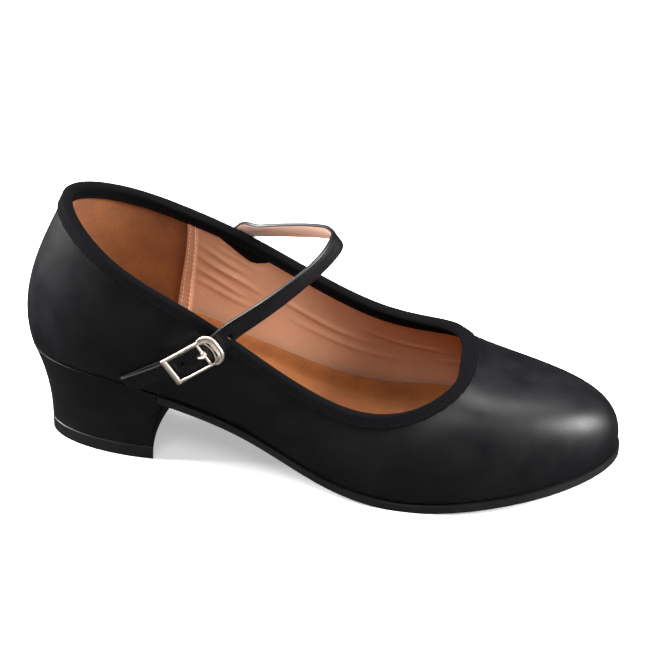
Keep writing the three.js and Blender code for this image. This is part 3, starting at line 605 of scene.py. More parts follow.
def section_of_binding(u):
    outer, inner = -CLEAR - BINDING_THICKNESS, WALL_DEPTH + CLEAR + BINDING_THICKNESS
    middle, half = (outer + inner) / 2, (inner - outer) / 2
    legs = np.linspace(BINDING_WIDTH, 0.4, 7)
    wave = 0.12 * math.sin(u * 2 * math.pi * 57) + 0.08 * math.sin(u * 2 * math.pi * 91)
    points = [rim_point(u, BINDING_WIDTH + 0.25 + wave, outer + BINDING_THICKNESS * 0.6)]
    points += [rim_point(u, b + (wave if b > 4 else 0), outer) for b in legs]
    for a in np.linspace(0.15, math.pi - 0.15, 9):
        points.append(rim_point(u, 0.4 - 1.25 * math.sin(a), middle - half * math.cos(a)))
    points += [rim_point(u, b, inner) for b in legs[::-1]]
    points.append(rim_point(u, BINDING_WIDTH + 0.25, inner - BINDING_THICKNESS * 0.6))
    points += [rim_point(u, b, WALL_DEPTH + 0.05) for b in (BINDING_WIDTH, 2.5, 0.0)]
    points += [rim_point(u, -0.15, 1.5)]
    points += [rim_point(u, b, -0.05) for b in (0.0, 2.5, BINDING_WIDTH)]
    return points


binding = loft("folded_binding", [section_of_binding(u) for u in np.arange(360) / 360], tape, joined=True)
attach(binding, "root")
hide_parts("topline_binding")

black_thread = thread("black_thread", "#080809")
seam_turns = np.linspace(0, 1, 500)
seam_heights = 1 - (BINDING_WIDTH - 0.9) / (3 * mouth_pull(seam_turns))
binding_seam = [
    (layer_point(seam_turns, seam_heights, np.full(500, -CLEAR - BINDING_THICKNESS - 0.02)),
     upper_normal(seam_turns, seam_heights)),
    (layer_point(seam_turns, seam_heights, np.full(500, WALL_DEPTH + CLEAR + BINDING_THICKNESS + 0.02)),
     -upper_normal(seam_turns, seam_heights)),
]
binding_stitches = stitches("binding_stitches", binding_seam, 2.6, 0.15, black_thread)
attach(binding_stitches, "root")

# ---- Sock lining and heel pad ----
# A sock of the same tan suede, cut to the insole and cemented down, with a thin latex foam pad
# under the heel. Its inner edge curls up against the lining.
BOARD_TOP = 3.3
PAD_END = 72
SOCK_INSET = 3.6


def outline_sides(inset):
    """The sole outline moved in by an inset: its back, its front, and a function for each side."""
    u = np.linspace(0, 1, 2401)
    points = feather_point(u) - feather_out(u) * inset
    front = int(points[:, 0].argmax())
    back_at = int(points[:, 0].argmin())
    points = np.roll(points[:-1], -back_at, 0)
    front = (front - back_at) % 2400
    outer = points[:front + 1]
    inner = np.concatenate([points[front:], points[:1]])[::-1]

    def side(x, half):
        order = np.argsort(half[:, 0])
        return np.interp(x, half[order, 0], half[order, 1])
    return points[0, 0], points[front, 0], lambda x: side(x, outer), lambda x: side(x, inner)


def plate_rings(inset, low_end, high_end, bottom, top, steps, across=9):
    """Sections of a plate that follows the underside; bottom and top take the place and the share across."""
    back_x, front_x, outer, inner = outline_sides(inset)
    start, end = max(low_end, back_x + 0.02), min(high_end, front_x - 0.02)
    share = (1 - np.cos(np.pi * np.linspace(0, 1, steps + 1))) / 2
    rings = []
    for x in start + (end - start) * share:
        q = np.linspace(-1, 1, across)
        y = outer(x) + (inner(x) - outer(x)) * (q + 1) / 2
        z = profile(x)
        under = np.stack([np.full(across, x), y, z + bottom(x, q)], -1)
        over = np.stack([np.full(across, x), y, z + top(x, q)], -1)
        rings.append(np.concatenate([under, over[::-1]]))
    return rings


def sock_bed(x):
    return BOARD_TOP + 0.3 + 1.8 * (1 - smooth(x, PAD_END, PAD_END + 16))


def sock_top(x, q):
    curl = 0.7 * np.abs(q) ** 8
    dish = -0.25 * (1 - q * q) * (1 - smooth(x, 60, 90))
    ripple = 0.12 * math.sin(x / 9) * q * q
    up_the_wall = 5.2 * smooth(q, 0.84, 1) * smooth(x, 38, 70) * (1 - smooth(x, 160, 196))
    return sock_bed(x) + 1.0 + curl + dish + ripple + up_the_wall


def sock_under(x, q):
    return sock_bed(x) + 0 * q


sock = loft("suede_sock", plate_rings(SOCK_INSET, -99, 999, sock_under, sock_top, 120, 61), tan_suede)
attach(sock, "root")
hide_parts("sock_lining")

latex_foam = pressed_board("latex_foam", "#d8cdb4", "#c4b798", 0.8)
finish_node("heel_pad", latex_foam)

# ---- Outsole and shank ----
# A thin sheet of black resin rubber, cut to stand a millimetre out from the upper, roughed and
# cemented, then edged and blacked. A steel shank lies over it in the waist, out of sight.
def rubber(name, colour, roughness, grit, relief):
    """Moulded rubber or plastic: an even colour, a fine grit, and scuffs that change its gloss."""
    material, tree = new_material(name)
    where = add(tree, "ShaderNodeTexCoord").outputs["Object"]
    grain = add(tree, "ShaderNodeTexNoise", {
        "Vector": where, "Scale": 1000 / grit, "Detail": 4, "Roughness": 0.65,
    })
    scuff = add(tree, "ShaderNodeTexNoise", {"Vector": where, "Scale": 35, "Detail": 4})
    gloss = add(tree, "ShaderNodeMapRange", {
        "Value": scuff.outputs["Fac"], "From Min": 0.3, "From Max": 0.7,
        "To Min": roughness - 0.08, "To Max": roughness + 0.1,
    })
    bump = add(tree, "ShaderNodeBump", {
        "Strength": 0.5, "Distance": relief * 0.001, "Height": grain.outputs["Fac"],
    })
    skin = add(tree, "ShaderNodeBsdfPrincipled", {
        "Base Color": linear(colour), "Roughness": gloss.outputs[0], "Normal": bump.outputs[0],
    })
    add(tree, "ShaderNodeOutputMaterial", {"Surface": skin.outputs[0]})
    return material


def soften(piece, width, segments=3):
    """Rounds a piece's sharp edges by a width in millimetres."""
    bevel = piece.modifiers.new("rounded_edges", "BEVEL")
    bevel.width = width * 0.001
    bevel.segments = segments
    bevel.limit_method = "ANGLE"
    bevel.angle_limit = math.radians(38)
    bevel.harden_normals = True


def steel_finish(name, colour, roughness, scratch):
    """Bare or plated metal: a clean mirror, blurred and streaked a little by handling."""
    material, tree = new_material(name)
    where = add(tree, "ShaderNodeTexCoord").outputs["Object"]
    marks = add(tree, "ShaderNodeTexNoise", {"Vector": where, "Scale": 1000 / scratch, "Detail": 4})
    gloss = add(tree, "ShaderNodeMapRange", {
        "Value": marks.outputs["Fac"], "From Min": 0.3, "From Max": 0.7,
        "To Min": roughness - 0.05, "To Max": roughness + 0.06,
    })
    bump = add(tree, "ShaderNodeBump", {
        "Strength": 0.15, "Distance": 0.00003, "Height": marks.outputs["Fac"],
    })
    skin = add(tree, "ShaderNodeBsdfPrincipled", {
        "Base Color": linear(colour), "Metallic": 1.0, "Roughness": gloss.outputs[0],
        "Normal": bump.outputs[0],
    })
    add(tree, "ShaderNodeOutputMaterial", {"Surface": skin.outputs[0]})
    return material


SOLE_BOTTOM = -3.5
SOLE_TOP = -0.15
resin_rubber = rubber("resin_rubber", "#0f0f10", 0.55, 0.5, 0.06)
outsole = loft("rubber_outsole", plate_rings(
    -1, 58.5, 999, lambda x, q: SOLE_BOTTOM + 0 * q, lambda x, q: SOLE_TOP + 0 * q, 120, 5,
), resin_rubber)
soften(outsole, 0.7)
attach(outsole, "root")
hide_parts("outsole")

bare_steel = steel_finish("bare_steel", "#a2a2a4", 0.35, 0.4)
for node in ("shank", "heel_screw", "heel_nail_1", "heel_nail_2", "heel_nail_3", "heel_nail_4",
             "top_piece_pin_1", "top_piece_pin_2"):
    finish_node(node, bare_steel)

# ---- Heel ----
# A moulded block under the seat, wrapped in the upper's leather, which turns a few millimetres
# onto the hollow front face. A separate leather piece fills the rest of that face.
TOP_PIECE = 6
HEEL_FOOT = TOP_PIECE + 0.15
TREAD_FRONT = 54.8
TREAD_BACK = 7.5
TREAD_HALF = 21
BREAST_HOLLOW = 2.5
COVER_THICKNESS = 0.8
SEAT_FRONT = 0.235 * SHOE_LENGTH
WRAP_SHARE = 1 - 4 / TREAD_HALF


def heel_curve(share, inset, count=72):
    """The heel's outline at a share of its height, from the outer front corner round the back."""
    flare = share * share
    t = np.linspace(-1, 1, count + 1)
    angle = t * math.pi / 2
    depth = TREAD_FRONT - TREAD_BACK - 2 * inset
    tread = np.stack([TREAD_FRONT - inset - depth * np.cos(angle), (TREAD_HALF - inset) * np.sin(angle)], -1)
    seat = (feather_point(-t / 6) - feather_out(-t / 6) * inset)[:, :2]
    return tread + (seat - tread) * flare


def breast_place(share, q, inset):
    """A point across the front face: q is -1 at the outer corner and 1 at the inner one."""
    q = np.asarray(q, float)
    curve = heel_curve(share, inset)
    corner = np.where(q < 0, curve[0, 1], curve[-1, 1])
    hollow = BREAST_HOLLOW * (1 - share * share) * (1 - q * q)
    front = TREAD_FRONT + (SEAT_FRONT - TREAD_FRONT) * share * share - inset
    return np.stack([front - hollow, np.abs(q) * corner], -1)


def at_height(flat, share):
    flat = np.asarray(flat)
    z = HEEL_FOOT + (profile(flat[:, 0]) - 0.12 - HEEL_FOOT) * share
    return np.concatenate([flat, z[:, None]], 1)


def section_of_cover(share):
    outside, inside = heel_curve(share, 0), heel_curve(share, COVER_THICKNESS)[::-1]
    outside[[0, -1], 0] = breast_place(share, 1, 0)[0]
    inside[[0, -1], 0] = breast_place(share, 1, COVER_THICKNESS)[0]
    lap = np.linspace(1, WRAP_SHARE, 5)[1:]
    flat = np.concatenate([
        outside, breast_place(share, lap, 0), breast_place(share, lap[::-1], COVER_THICKNESS),
        inside, breast_place(share, -lap, COVER_THICKNESS), breast_place(share, -lap[::-1], 0),
    ])
    return at_height(flat, share)


def section_of_breast(share):
    edge = WRAP_SHARE - 0.2 / TREAD_HALF
    q = np.linspace(-edge, edge, 25)
    flat = np.concatenate([breast_place(share, q, 0.2), breast_place(share, q[::-1], COVER_THICKNESS)])
    return at_height(flat, share)


heel_shares = np.linspace(0, 1, 41)
heel_cover = loft("heel_leather", [section_of_cover(s) for s in heel_shares], calf_leather)
soften(heel_cover, 0.3)
breast_cover = loft("breast_leather", [section_of_breast(s) for s in heel_shares], calf_leather)
soften(breast_cover, 0.15)
for piece, node in ((heel_cover, "heel_cover"), (breast_cover, "heel_breast_cover")):
    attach(piece, "root")
    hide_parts(node)
moulded_plastic = rubber("moulded_plastic", "#2b2b2d", 0.5, 1.5, 0.05)
finish_node("heel_block", moulded_plastic)

# The top piece is a 6 mm lift of hard black rubber, pinned and glued on, with its edge buffed.
hard_rubber = rubber("hard_rubber", "#101011", 0.42, 0.4, 0.04)
tread = np.concatenate([heel_curve(0, 0), breast_place(0, np.linspace(1, -1, 25)[1:-1], 0)])
top_piece = loft("rubber_top_piece", [
    np.concatenate([tread, np.full((len(tread), 1), z)], 1) for z in (0, 3, TOP_PIECE)
], hard_rubber)
soften(top_piece, 0.45)
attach(top_piece, "root")
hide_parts("heel_top_piece")

# ---- Strap ----
# One strip of the upper's leather, 8.5 mm wide, lined with goatskin and sewn near both edges.
# It is sewn down under the inner side and folds at the topline; four holes take the prong.
STRAP_WIDTH = 8.5
STRAP_HALF = 0.9
STRAP_STAND = STRAP_HALF + 0.3 + 2.8
RIM_STAND = STRAP_HALF + 0.85 + BINDING_THICKNESS
STRAP_REACH = 50.8
STRAP_RISE = math.radians(31)
STRAP_LEAN = 0.75


def side_place(x, z, side):
    """The place (u, v) on the outer (-1) or inner (1) side where the upper has this x and z."""
    u, v = (0.2 if side < 0 else 0.8), 0.5
    for _ in range(20):
        p = upper_point(u, v)
        pu = (upper_point(u + STEP, v) - p) / STEP
        pv = (upper_point(u, v + STEP) - p) / STEP
        det = pu[0] * pv[2] - pu[2] * pv[0]
        u += float(np.clip(((x - p[0]) * pv[2] - (z - p[2]) * pv[0]) / det, -0.05, 0.05))
        v += float(np.clip(((z - p[2]) * pu[0] - (x - p[0]) * pu[2]) / det, -0.3, 0.3))
    return u, v


def run_point(x, z, side, stand):
    u, v = side_place(x, z, side)
    return layer_point(u, v, np.asarray(-stand, float)), upper_normal(u, v)


def side_run(marks, side):
    """Controls every few millimetres along one side, through marks of x, z and stand-off."""
    made = []
    for i in range(len(marks) - 1):
        for share in np.linspace(0, 1, 5)[(1 if i else 0):]:
            x, z, stand = np.array(marks[i]) + (np.array(marks[i + 1]) - np.array(marks[i])) * share
            made.append(run_point(x, z, side, stand))
    return made


buckle_at, buckle_out = run_point(77, 62.6, -1, STRAP_STAND)
buckle_tilt = math.radians(37)
buckle_along = np.array([math.cos(buckle_tilt), 0, math.sin(buckle_tilt)])
buckle_along = unit(buckle_along - buckle_out * buckle_along.dot(buckle_out))
buckle_across = np.cross(buckle_out, buckle_along)


def from_buckle(x, y=0.0, z=0.0):
    return buckle_at + buckle_along * x + buckle_across * y + buckle_out * z


hinge_at, hinge_out = run_point(84, 81.7, 1, RIM_STAND)
root_below, _ = run_point(80, 77.7, 1, RIM_STAND)
root_along = unit(hinge_at - root_below)
loop_base = {"outer": from_buckle(8), "inner": hinge_at}
loop_forward = np.array([math.cos(STRAP_RISE), 0, math.sin(STRAP_RISE)])
loop_span = loop_base["inner"] - loop_base["outer"]
loop_under = unit(np.cross(loop_span, loop_forward))
# Places on the loop: share of its reach, share of its half span to the outer or inner side,
# and millimetres under the plane of its two ends.
LOOP_PLACES = [
    (0.21, -0.93, -2.4), (0.38, -0.86, -2.7), (0.6, -0.73, -2.6), (0.79, -0.55, -2), (0.89, -0.4, -1.2),
    (0.97, -0.2, -0.1), (1, 0.07, 1.2), (0.92, 0.27, 1.6), (0.76, 0.45, 1.8), (0.55, 0.635, 1.9),
    (0.33, 0.81, 1.7), (0.18, 0.91, 1.1),
]
loop_controls = []
for reach, side, under in LOOP_PLACES:
    at = loop_base["outer"] + loop_span * (side + 1) / 2 + loop_forward * reach * STRAP_REACH
    tip = STRAP_LEAN * float(smooth(side, -0.6, 0.4))
    out = np.array([math.sqrt(max(0, 1 - side * side)), side, tip])
    loop_controls.append((at + loop_under * under, out))

TAIL_STAND = STRAP_HALF + 0.6 + UPPER_THICKNESS
strap_controls = [
    *side_run([(47.5, 43.3, TAIL_STAND), (62, 52.3, STRAP_STAND)], -1),
    *[(from_buckle(x), buckle_out) for x in (-11, -6, 0, 4, 8)],
    *loop_controls,
    (hinge_at + root_along * 1.6, hinge_out),
    (hinge_at, hinge_out),
    *side_run([(80, 77.7, RIM_STAND), (76, 73.4, RIM_STAND), (71, 67.4, STRAP_HALF + 0.3),
               (60, 53.5, STRAP_HALF + 0.3), (50, 45.5, STRAP_HALF + 0.3)], 1),
]


def through(controls, centripetal):
    """Dense points on a smooth curve through controls."""
    p = np.asarray(controls, float)
    p = np.concatenate([[2 * p[0] - p[1]], p, [2 * p[-1] - p[-2]]])
    made = []
    for i in range(len(p) - 3):
        a, b, c, d = p[i:i + 4]
        if centripetal:
            steps = ((b, a), (c, b), (d, c))
            before, here, after = (max(np.linalg.norm(q - r) ** 0.5, 1e-4) for q, r in steps)
            start = ((b - a) / before - (c - a) / (before + here) + (c - b) / here) * here
            end = ((c - b) / here - (d - b) / (here + after) + (d - c) / after) * here
        else:
            start, end = (c - a) / 2, (d - b) / 2
        t = np.linspace(0, 1, 41)[:-1, None]
        made.append(hermite(b, c, start, end, t))
    return np.concatenate([*made, [p[-2]]])


def run_frames(controls, count, start=0.0, finish=0.0):
    """Frames along a run: places, ways along, out from the foot, and across."""
    path = through([c[0] for c in controls], True)
    outs = through([c[1] for c in controls], False)
    length = np.concatenate([[0], np.cumsum(np.linalg.norm(np.diff(path, axis=0), axis=1))])
    places = np.linspace(start, length[-1] - finish, count)
    at = np.stack([np.interp(places, length, path[:, k]) for k in range(3)], -1)
    out = np.stack([np.interp(places, length, outs[:, k]) for k in range(3)], -1)
    along = unit(np.gradient(at, axis=0))
    out = unit(out - along * (out * along).sum(1, keepdims=True))
    return at, along, out, np.cross(out, along), places


def ribbon(name, frames, section, material, slant=0.0):
    """A strip with one cross-section of (side, height) pairs; slant cuts its first end obliquely."""
    at, along, out, across, places = frames
    section = np.asarray(section, float)
    fade = np.clip(1 - (places - places[0]) / 8, 0, 1)
    rings = [
        at[i] + across[i] * section[:, :1] + out[i] * section[:, 1:]
        - along[i] * slant * fade[i] * section[:, :1]
        for i in range(len(at))
    ]
    return loft(name, rings, material)


def edge_round(half, low, high, count=5):
    """A strip's section with half-round edges, from the lower face round the right edge and back."""
    middle, radius = (low + high) / 2, (high - low) / 2
    bend = min(radius, 0.4)
    angles = np.linspace(-math.pi / 2, math.pi / 2, count)
    right_edge = [(half - bend + bend * math.cos(a), middle + radius * math.sin(a)) for a in angles]
    left_edge = [(-s, h) for s, h in reversed(right_edge)]
    return right_edge, left_edge


SEAM_IN = 1.15  # from the strap's edge to its row of thread
seam_side = STRAP_WIDTH / 2 - SEAM_IN
outer_right, outer_left = edge_round(STRAP_WIDTH / 2, -0.66, STRAP_HALF)
over = [(s, STRAP_HALF + 0.08 - 0.16 * math.exp(-((abs(s) - seam_side) / 0.3) ** 2))
        for s in (3.55, 3.3, 3.1, 2.9, 2.6, 1.5, 0, -1.5, -2.6, -2.9, -3.1, -3.3, -3.55)]
lining_right, lining_left = edge_round(STRAP_WIDTH / 2 - 0.6, -STRAP_HALF, -0.68, 4)
strap_frames = run_frames(strap_controls, 420)
strap_leather = leather("strap_leather", "#070709", "#0d0d10", 0.42, 0.7, 0.04, place="UV", shine=0.38)
strap_goatskin = leather("strap_goatskin", "#bb9c8c", "#ac8a7a", 0.5, 0.9, 0.05, place="UV")
strap = ribbon("strap", strap_frames, [*outer_right, *over, *outer_left], strap_leather, slant=0.2)
strap_lining = ribbon(
    "strap_goatskin", strap_frames, [*lining_right, *lining_left], strap_goatskin, slant=0.2,
)

CROSS_BAR_AT = 4.5
PRONG_HOLE = CROSS_BAR_AT - 3
HOLE_RADIUS = 1.15


def punch(piece, spots, radius):
    """Cuts round holes through a strip at spots along the buckle's line."""
    angles = np.arange(24) * math.pi / 12
    cutters = []
    for i, x in enumerate(spots):
        rings = [
            [from_buckle(x + radius * math.cos(a), radius * math.sin(a), z) for a in angles]
            for z in (-2.2, 2.2)
        ]
        cutters.append(loft(f"punch_{i}", rings, strap_leather))
    for cutter in cutters:
        cut = piece.modifiers.new("hole", "BOOLEAN")
        cut.operation = "DIFFERENCE"
        cut.solver = "EXACT"
        cut.object = cutter
    graph = bpy.context.evaluated_depsgraph_get()
    made = bpy.data.meshes.new_from_object(piece.evaluated_get(graph), depsgraph=graph)
    piece.modifiers.clear()
    piece.data = made
    for cutter in cutters:
        bpy.data.objects.remove(cutter)


hole_spots = [PRONG_HOLE + i * 8 for i in (-1, 0, 1, 2)]
punch(strap, hole_spots, HOLE_RADIUS)
punch(strap_lining, hole_spots, HOLE_RADIUS)

at, along, out, across, places = strap_frames
strap_seams = []
for side in (-1, 1):
    seam = at + across * side * seam_side + out * (STRAP_HALF - 0.02)
    strap_seams.append((seam[6:], out[6:]))
end_row = np.linspace(-seam_side, seam_side, 12)
strap_seams.append((
    at[6] + np.outer(end_row, across[6]) - np.outer(end_row * 0.16, along[6]) + out[6] * (STRAP_HALF + 0.04),
    np.repeat(out[6:7], 12, 0),
))
strap_stitches = stitches("strap_stitches", strap_seams, 2.0, 0.19, black_thread)

# The fold at the inner topline turns within a few millimetres of leather.
for piece, slot in (
    (strap, "black_leather"), (strap_lining, "pink_leather"), (strap_stitches, "black_leather"),
):
    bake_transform(piece)
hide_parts("strap_outer", "strap_root")
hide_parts("strap_lining")

# ---- Strap patch ----
# A scrap of black leather under the binding backs the place where the strap is sewn on.
PATCH_AT = [0.7495, 0.756, 0.764, 0.771, 0.780, 0.790, 0.798, 0.8035]
PATCH_LOW = [0.915, 0.87, 0.825, 0.81, 0.835, 0.87, 0.895, 0.925]
patch_turns = np.linspace(PATCH_AT[0], PATCH_AT[-1], 40)
patch_u = np.repeat(patch_turns[:, None], 14, 1)
patch_low = np.interp(patch_turns, PATCH_AT, PATCH_LOW)[:, None]
patch_v = patch_low + (0.97 - patch_low) * np.linspace(0, 1, 14)
patch_face = 3.05 + 0.5 * smooth(0.93 - patch_v, 0, 0.03)
patch_front = layer_point(patch_u, patch_v, patch_face)
patch_back = layer_point(patch_u, patch_v, np.full_like(patch_v, 3.01))
patch = loft("patch_leather", np.concatenate([patch_front, patch_back[:, ::-1]], 1), tape)
soften(patch, 0.12, 2)
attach(patch, "root")
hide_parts("strap_patch")

# ---- Buckle ----
# Cast zinc with a warm nickel plate: a flat keeper bar, a roped upper rail, a plain lower rail
# and a raised double-ridged end with a fine wire inside it. A blade under the strap holds it.
SLEEVE_OUTER = 1.2
BAR_Z = STRAP_HALF + 0.3 + SLEEVE_OUTER
RAIL_Y = STRAP_WIDTH / 2 + 0.5 + 0.8
END_X = 12.5
CAP_X = END_X - 0.9
CAP_Y = RAIL_Y + 0.15
BLADE_X = 7
BLADE_Z = -STRAP_HALF - 0.8 - 0.4
nickel = steel_finish("warm_nickel_plate", "#dccfc3", 0.34, 0.6)


def sweep(path, sections, flat_up=(0, 0, 1)):
    """Rings of a rod in the buckle's frame; sections holds (side, height) pairs for each point."""
    path = np.asarray(path, float)
    along = unit(np.gradient(path, axis=0))
    rings = []
    for p, way, section in zip(path, along, sections):
        side = unit(np.cross(np.array(flat_up, float), way))
        up = np.cross(way, side)
        local = p + np.outer([s for s, _ in section], side) + np.outer([h for _, h in section], up)
        rings.append([from_buckle(*q) for q in local])
    return np.array(rings)


def oval(width, height, count=14, square=1.0):
    """An oval section; square below 1 makes it boxier."""
    made = []
    for a in np.arange(count) * 2 * math.pi / count:
        c, s = math.cos(a), math.sin(a)
        side = width / 2 * math.copysign(abs(c) ** square, c)
        made.append((side, height / 2 * math.copysign(abs(s) ** square, s)))
    return made


def joined(name, parts):
    """Several closed shells in one mesh."""
    with bpy.context.temp_override(active_object=parts[0], selected_editable_objects=parts, object=parts[0]):
        bpy.ops.object.join()
    parts[0].name = name
    parts[0].data.name = name
    return parts[0]


def buckle_frame():
    parts = []
    keeper_y = np.concatenate([[-6.3, -6.23, -6.05], np.linspace(-5.85, 5.85, 15), [6.05, 6.23, 6.3]])
    narrow = [0.55, 0.82, 0.95] + [1] * 15 + [0.95, 0.82, 0.55]
    parts.append(loft("keeper_bar", sweep(
        [(-END_X + 0.2, y, BAR_Z + 0.1) for y in keeper_y],
        [oval(2.5 * n, 1.35 * n, 20, 0.45) for n in narrow],
    ), nickel, sharp=60))
    rope_x = np.linspace(-END_X + 0.8, 6.8, 260)
    ropes = []
    for x in rope_x:
        angles = np.arange(14) * 2 * math.pi / 14
        ropes.append([((0.74 + 0.09 * math.cos(2 * math.pi * x / 0.8 + a)) * math.cos(a),
                       (0.74 + 0.09 * math.cos(2 * math.pi * x / 0.8 + a)) * math.sin(a)) for a in angles])
    parts.append(loft("rope_rail", sweep([(x, RAIL_Y, BAR_Z) for x in rope_x], ropes), nickel, sharp=80))
    plain_x = np.linspace(-END_X + 0.8, 8.5, 40)
    foot = [oval(1.25 + 0.55 * math.exp(-((x + 9.8) / 1.5) ** 2), 1.3, 14, 0.75) for x in plain_x]
    parts.append(loft("plain_rail", sweep([(x, -RAIL_Y, BAR_Z) for x in plain_x], foot), nickel, sharp=80))
    cap = []
    corner, low_corner, low_drop = 3.0, 4.6, 4.2
    for x in np.linspace(5.9, CAP_X - corner, 6):
        cap.append((x, CAP_Y))
    for a in np.linspace(math.pi / 2, 0, 9)[1:]:
        cap.append((CAP_X - corner + corner * math.cos(a), CAP_Y - corner + corner * math.sin(a)))
    for y in np.linspace(RAIL_Y - corner, -RAIL_Y + low_drop, 9)[1:]:
        cap.append((CAP_X, y))
    for a in np.linspace(0, -math.pi / 2, 12)[1:]:
        cap.append((CAP_X - low_corner + low_corner * math.cos(a), -RAIL_Y + low_drop + low_drop * math.sin(a)))
    cap = np.array(cap)
    rise_up = 0.5 * smooth(cap[:, 0], 5.6, 9.6)
    spine = np.concatenate([cap, (BAR_Z + 0.1 + rise_up)[:, None]], 1)
    ridge = [(1.2, -0.3), (1.28, 0.1), (1.15, 0.5), (0.8, 0.72), (0.42, 0.6), (0.1, 0.28), (-0.1, 0.28),
             (-0.42, 0.6), (-0.8, 0.72), (-1.15, 0.5), (-1.28, 0.1), (-1.2, -0.3), (-0.8, -0.6), (0.8, -0.6)]
    from_start, from_end = np.arange(len(cap)), np.arange(len(cap))[::-1]
    taper = np.minimum(1, 0.75 + 0.25 * from_start / 3) * np.minimum(1, 0.6 + 0.4 * from_end / 5)
    ridges = [[(1.22 * s * t, h) for s, h in ridge] for t in taper]
    parts.append(loft("end_cap", sweep(spine, ridges), nickel, sharp=50))
    turns = np.linspace(1.25, -1.3, 30)
    wire = [(6.2 + 2.9 * math.cos(a), 5.1 * math.sin(a), BAR_Z + 0.35) for a in turns]
    parts.append(loft("inner_wire", sweep(wire, [oval(0.6, 0.7, 10)] * 30), nickel, sharp=80))
    down = [(RAIL_Y, BAR_Z), (RAIL_Y, 0), (RAIL_Y, BLADE_Z + 1), (RAIL_Y - 0.25, BLADE_Z + 0.3),
            (RAIL_Y - 0.8, BLADE_Z)]
    blade = [(BLADE_X, -y, z) for y, z in down] + [(BLADE_X, 0, BLADE_Z)]
    blade += [(BLADE_X, y, z) for y, z in reversed(down)]
    blade_sections = [oval(0.8, 1.3, 12, 0.6)] * len(blade)
    parts.append(loft("blade", sweep(blade, blade_sections, flat_up=(1, 0, 0)), nickel))
    return joined("nickel_frame", parts)


frame_piece = buckle_frame()
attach(frame_piece, "strap")
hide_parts("buckle_frame")

bar_y = np.concatenate([[-5.1, -5.0], np.linspace(-4.8, 4.8, 12), [5.0, 5.1]])
bar_size = [0.7, 0.95] + [1] * 12 + [0.95, 0.7]
cross_bar = loft("nickel_cross_bar", sweep(
    [(CROSS_BAR_AT, y, BAR_Z) for y in bar_y], [oval(1.2 * s, 1.2 * s, 16) for s in bar_size],
), nickel, sharp=60)
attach(cross_bar, "strap")
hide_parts("buckle_cross_bar")


def prong_shape():
    """A wire hook: an eye round the bar, a short turn forward, and a point bent down into the hole."""
    ring = [(0.72, -0.9), (1.0, -1.05), (1.17, -0.8), (1.2, 0), (1.17, 0.8), (1.0, 1.05), (0.72, 0.9)]
    eye = []
    for a in np.arange(28) * 2 * math.pi / 28:
        eye.append([from_buckle(CROSS_BAR_AT + r * math.cos(a), y, BAR_Z + r * math.sin(a)) for r, y in ring])
    eye_part = loft("prong_eye", eye, nickel, joined=True, sharp=60)
    hook = [(0.1, 0.95, 0.9), (0.45, 0.9, 1.1), (0.62, 0.5, 1.15), (0.65, -0.1, 1.15), (0.58, -0.6, 1.15),
            (0.1, -0.8, 1.2), (-0.7, -0.55, 1.2), (-1.8, -0.25, 1.0), (-2.75, -0.05, 0.25),
            (-3.2, 0, -0.8), (-3.25, 0, -1.8), (-2.95, 0, -2.55)]
    path = through([(CROSS_BAR_AT + x, y, BAR_Z + z) for x, y, z in hook], True)[::8]
    from_start, from_point = np.arange(len(path)), np.arange(len(path))[::-1]
    taper = np.minimum(1, 0.55 + from_point * 0.05) * np.minimum(1, 0.6 + from_start * 0.2)
    hook_rings = sweep(path, [oval(1.0 * t, 1.0 * t, 12) for t in taper], flat_up=(0, 1, 0.02))
    hook_part = loft("prong_hook", hook_rings, nickel, sharp=80)
    return joined("nickel_prong", [eye_part, hook_part])


prong = prong_shape()
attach(prong, "prong")
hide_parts("buckle_prong")

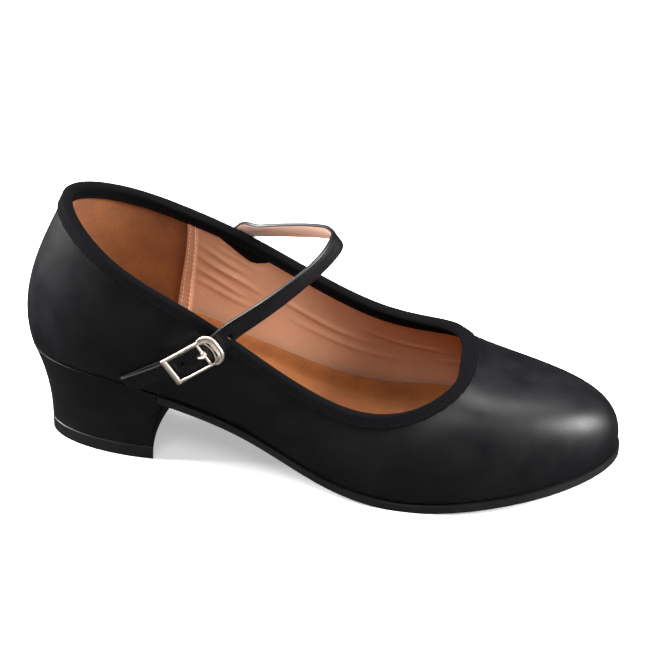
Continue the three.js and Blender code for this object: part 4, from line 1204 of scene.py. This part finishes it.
# The white table in front of the shoe, as the plated metal mirrors it.
table_glow = softbox("table_glow", (0.05, -0.42, 0.006), 0.7, 0.5, 2.6, aim=(0.05, -0.419, 0.5))
plated = bpy.data.collections.new("plated_metal")
for piece in (frame_piece, cross_bar, prong):
    plated.objects.link(piece)
table_glow.light_linking.receiver_collection = plated
table_glow.visible_camera = False

# ---- Chape ----
# A short fixed strap of the same leather under the tail, sewn in at the sole's edge. A loop of
# ribbed elastic on its end holds the buckle's blade, and stretches to let it go.
CHAPE_STAND = 0.3 + UPPER_THICKNESS / 2
chape_end = from_buckle(-3)
chape_controls = side_run([
    (45.5, 41.8, CHAPE_STAND), (62, 52.3, CHAPE_STAND), (chape_end[0], chape_end[2], CHAPE_STAND),
], -1)
chape_frames = run_frames(chape_controls, 90)
chape_right, chape_left = edge_round((STRAP_WIDTH - 0.8) / 2, -0.6, 0.6)
chape_section = [*chape_right, (1.5, 0.66), (0, 0.7), (-1.5, 0.66), *chape_left]
chape = ribbon("chape_leather", chape_frames, chape_section, strap_leather)
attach(chape, "root")
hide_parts("chape_strap")
at, along, out, across, places = chape_frames
chape_seams = [(at[:60] + across[:60] * side * 2.9 + out[:60] * 0.6, out[:60]) for side in (-1, 1)]
chape_stitches = stitches("chape_stitches", chape_seams, 2.0, 0.2, black_thread)
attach(chape_stitches, "root")

elastic_tape = ribbed_tape("elastic_tape", 0.7)
TAPE = 0.4
tape_top = -STRAP_HALF - 0.2
tape_low = BLADE_Z - 0.4 - 0.2
loop_x = BLADE_X + 1.0
over_z, under_z = tape_top - TAPE / 2, tape_low - TAPE / 2
centre_line = [(-9, over_z), (0, over_z), (6, over_z)]
middle_z, bend_r = (over_z + under_z) / 2, (over_z - under_z) / 2
for a in np.linspace(0, math.pi, 11):
    centre_line.append((loop_x + bend_r * math.sin(a) * 0.6, middle_z + bend_r * math.cos(a)))
centre_line += [(4, under_z), (-2.4, under_z)]
elastic_path = [(x, 0, z) for x, z in centre_line]
elastic = loft("elastic_loop", sweep(
    elastic_path, [oval(TAPE, STRAP_WIDTH - 1.5, 20, 0.35)] * len(elastic_path), flat_up=(0, 1, 0),
), elastic_tape)
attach(elastic, "root")
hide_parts("chape_elastic")
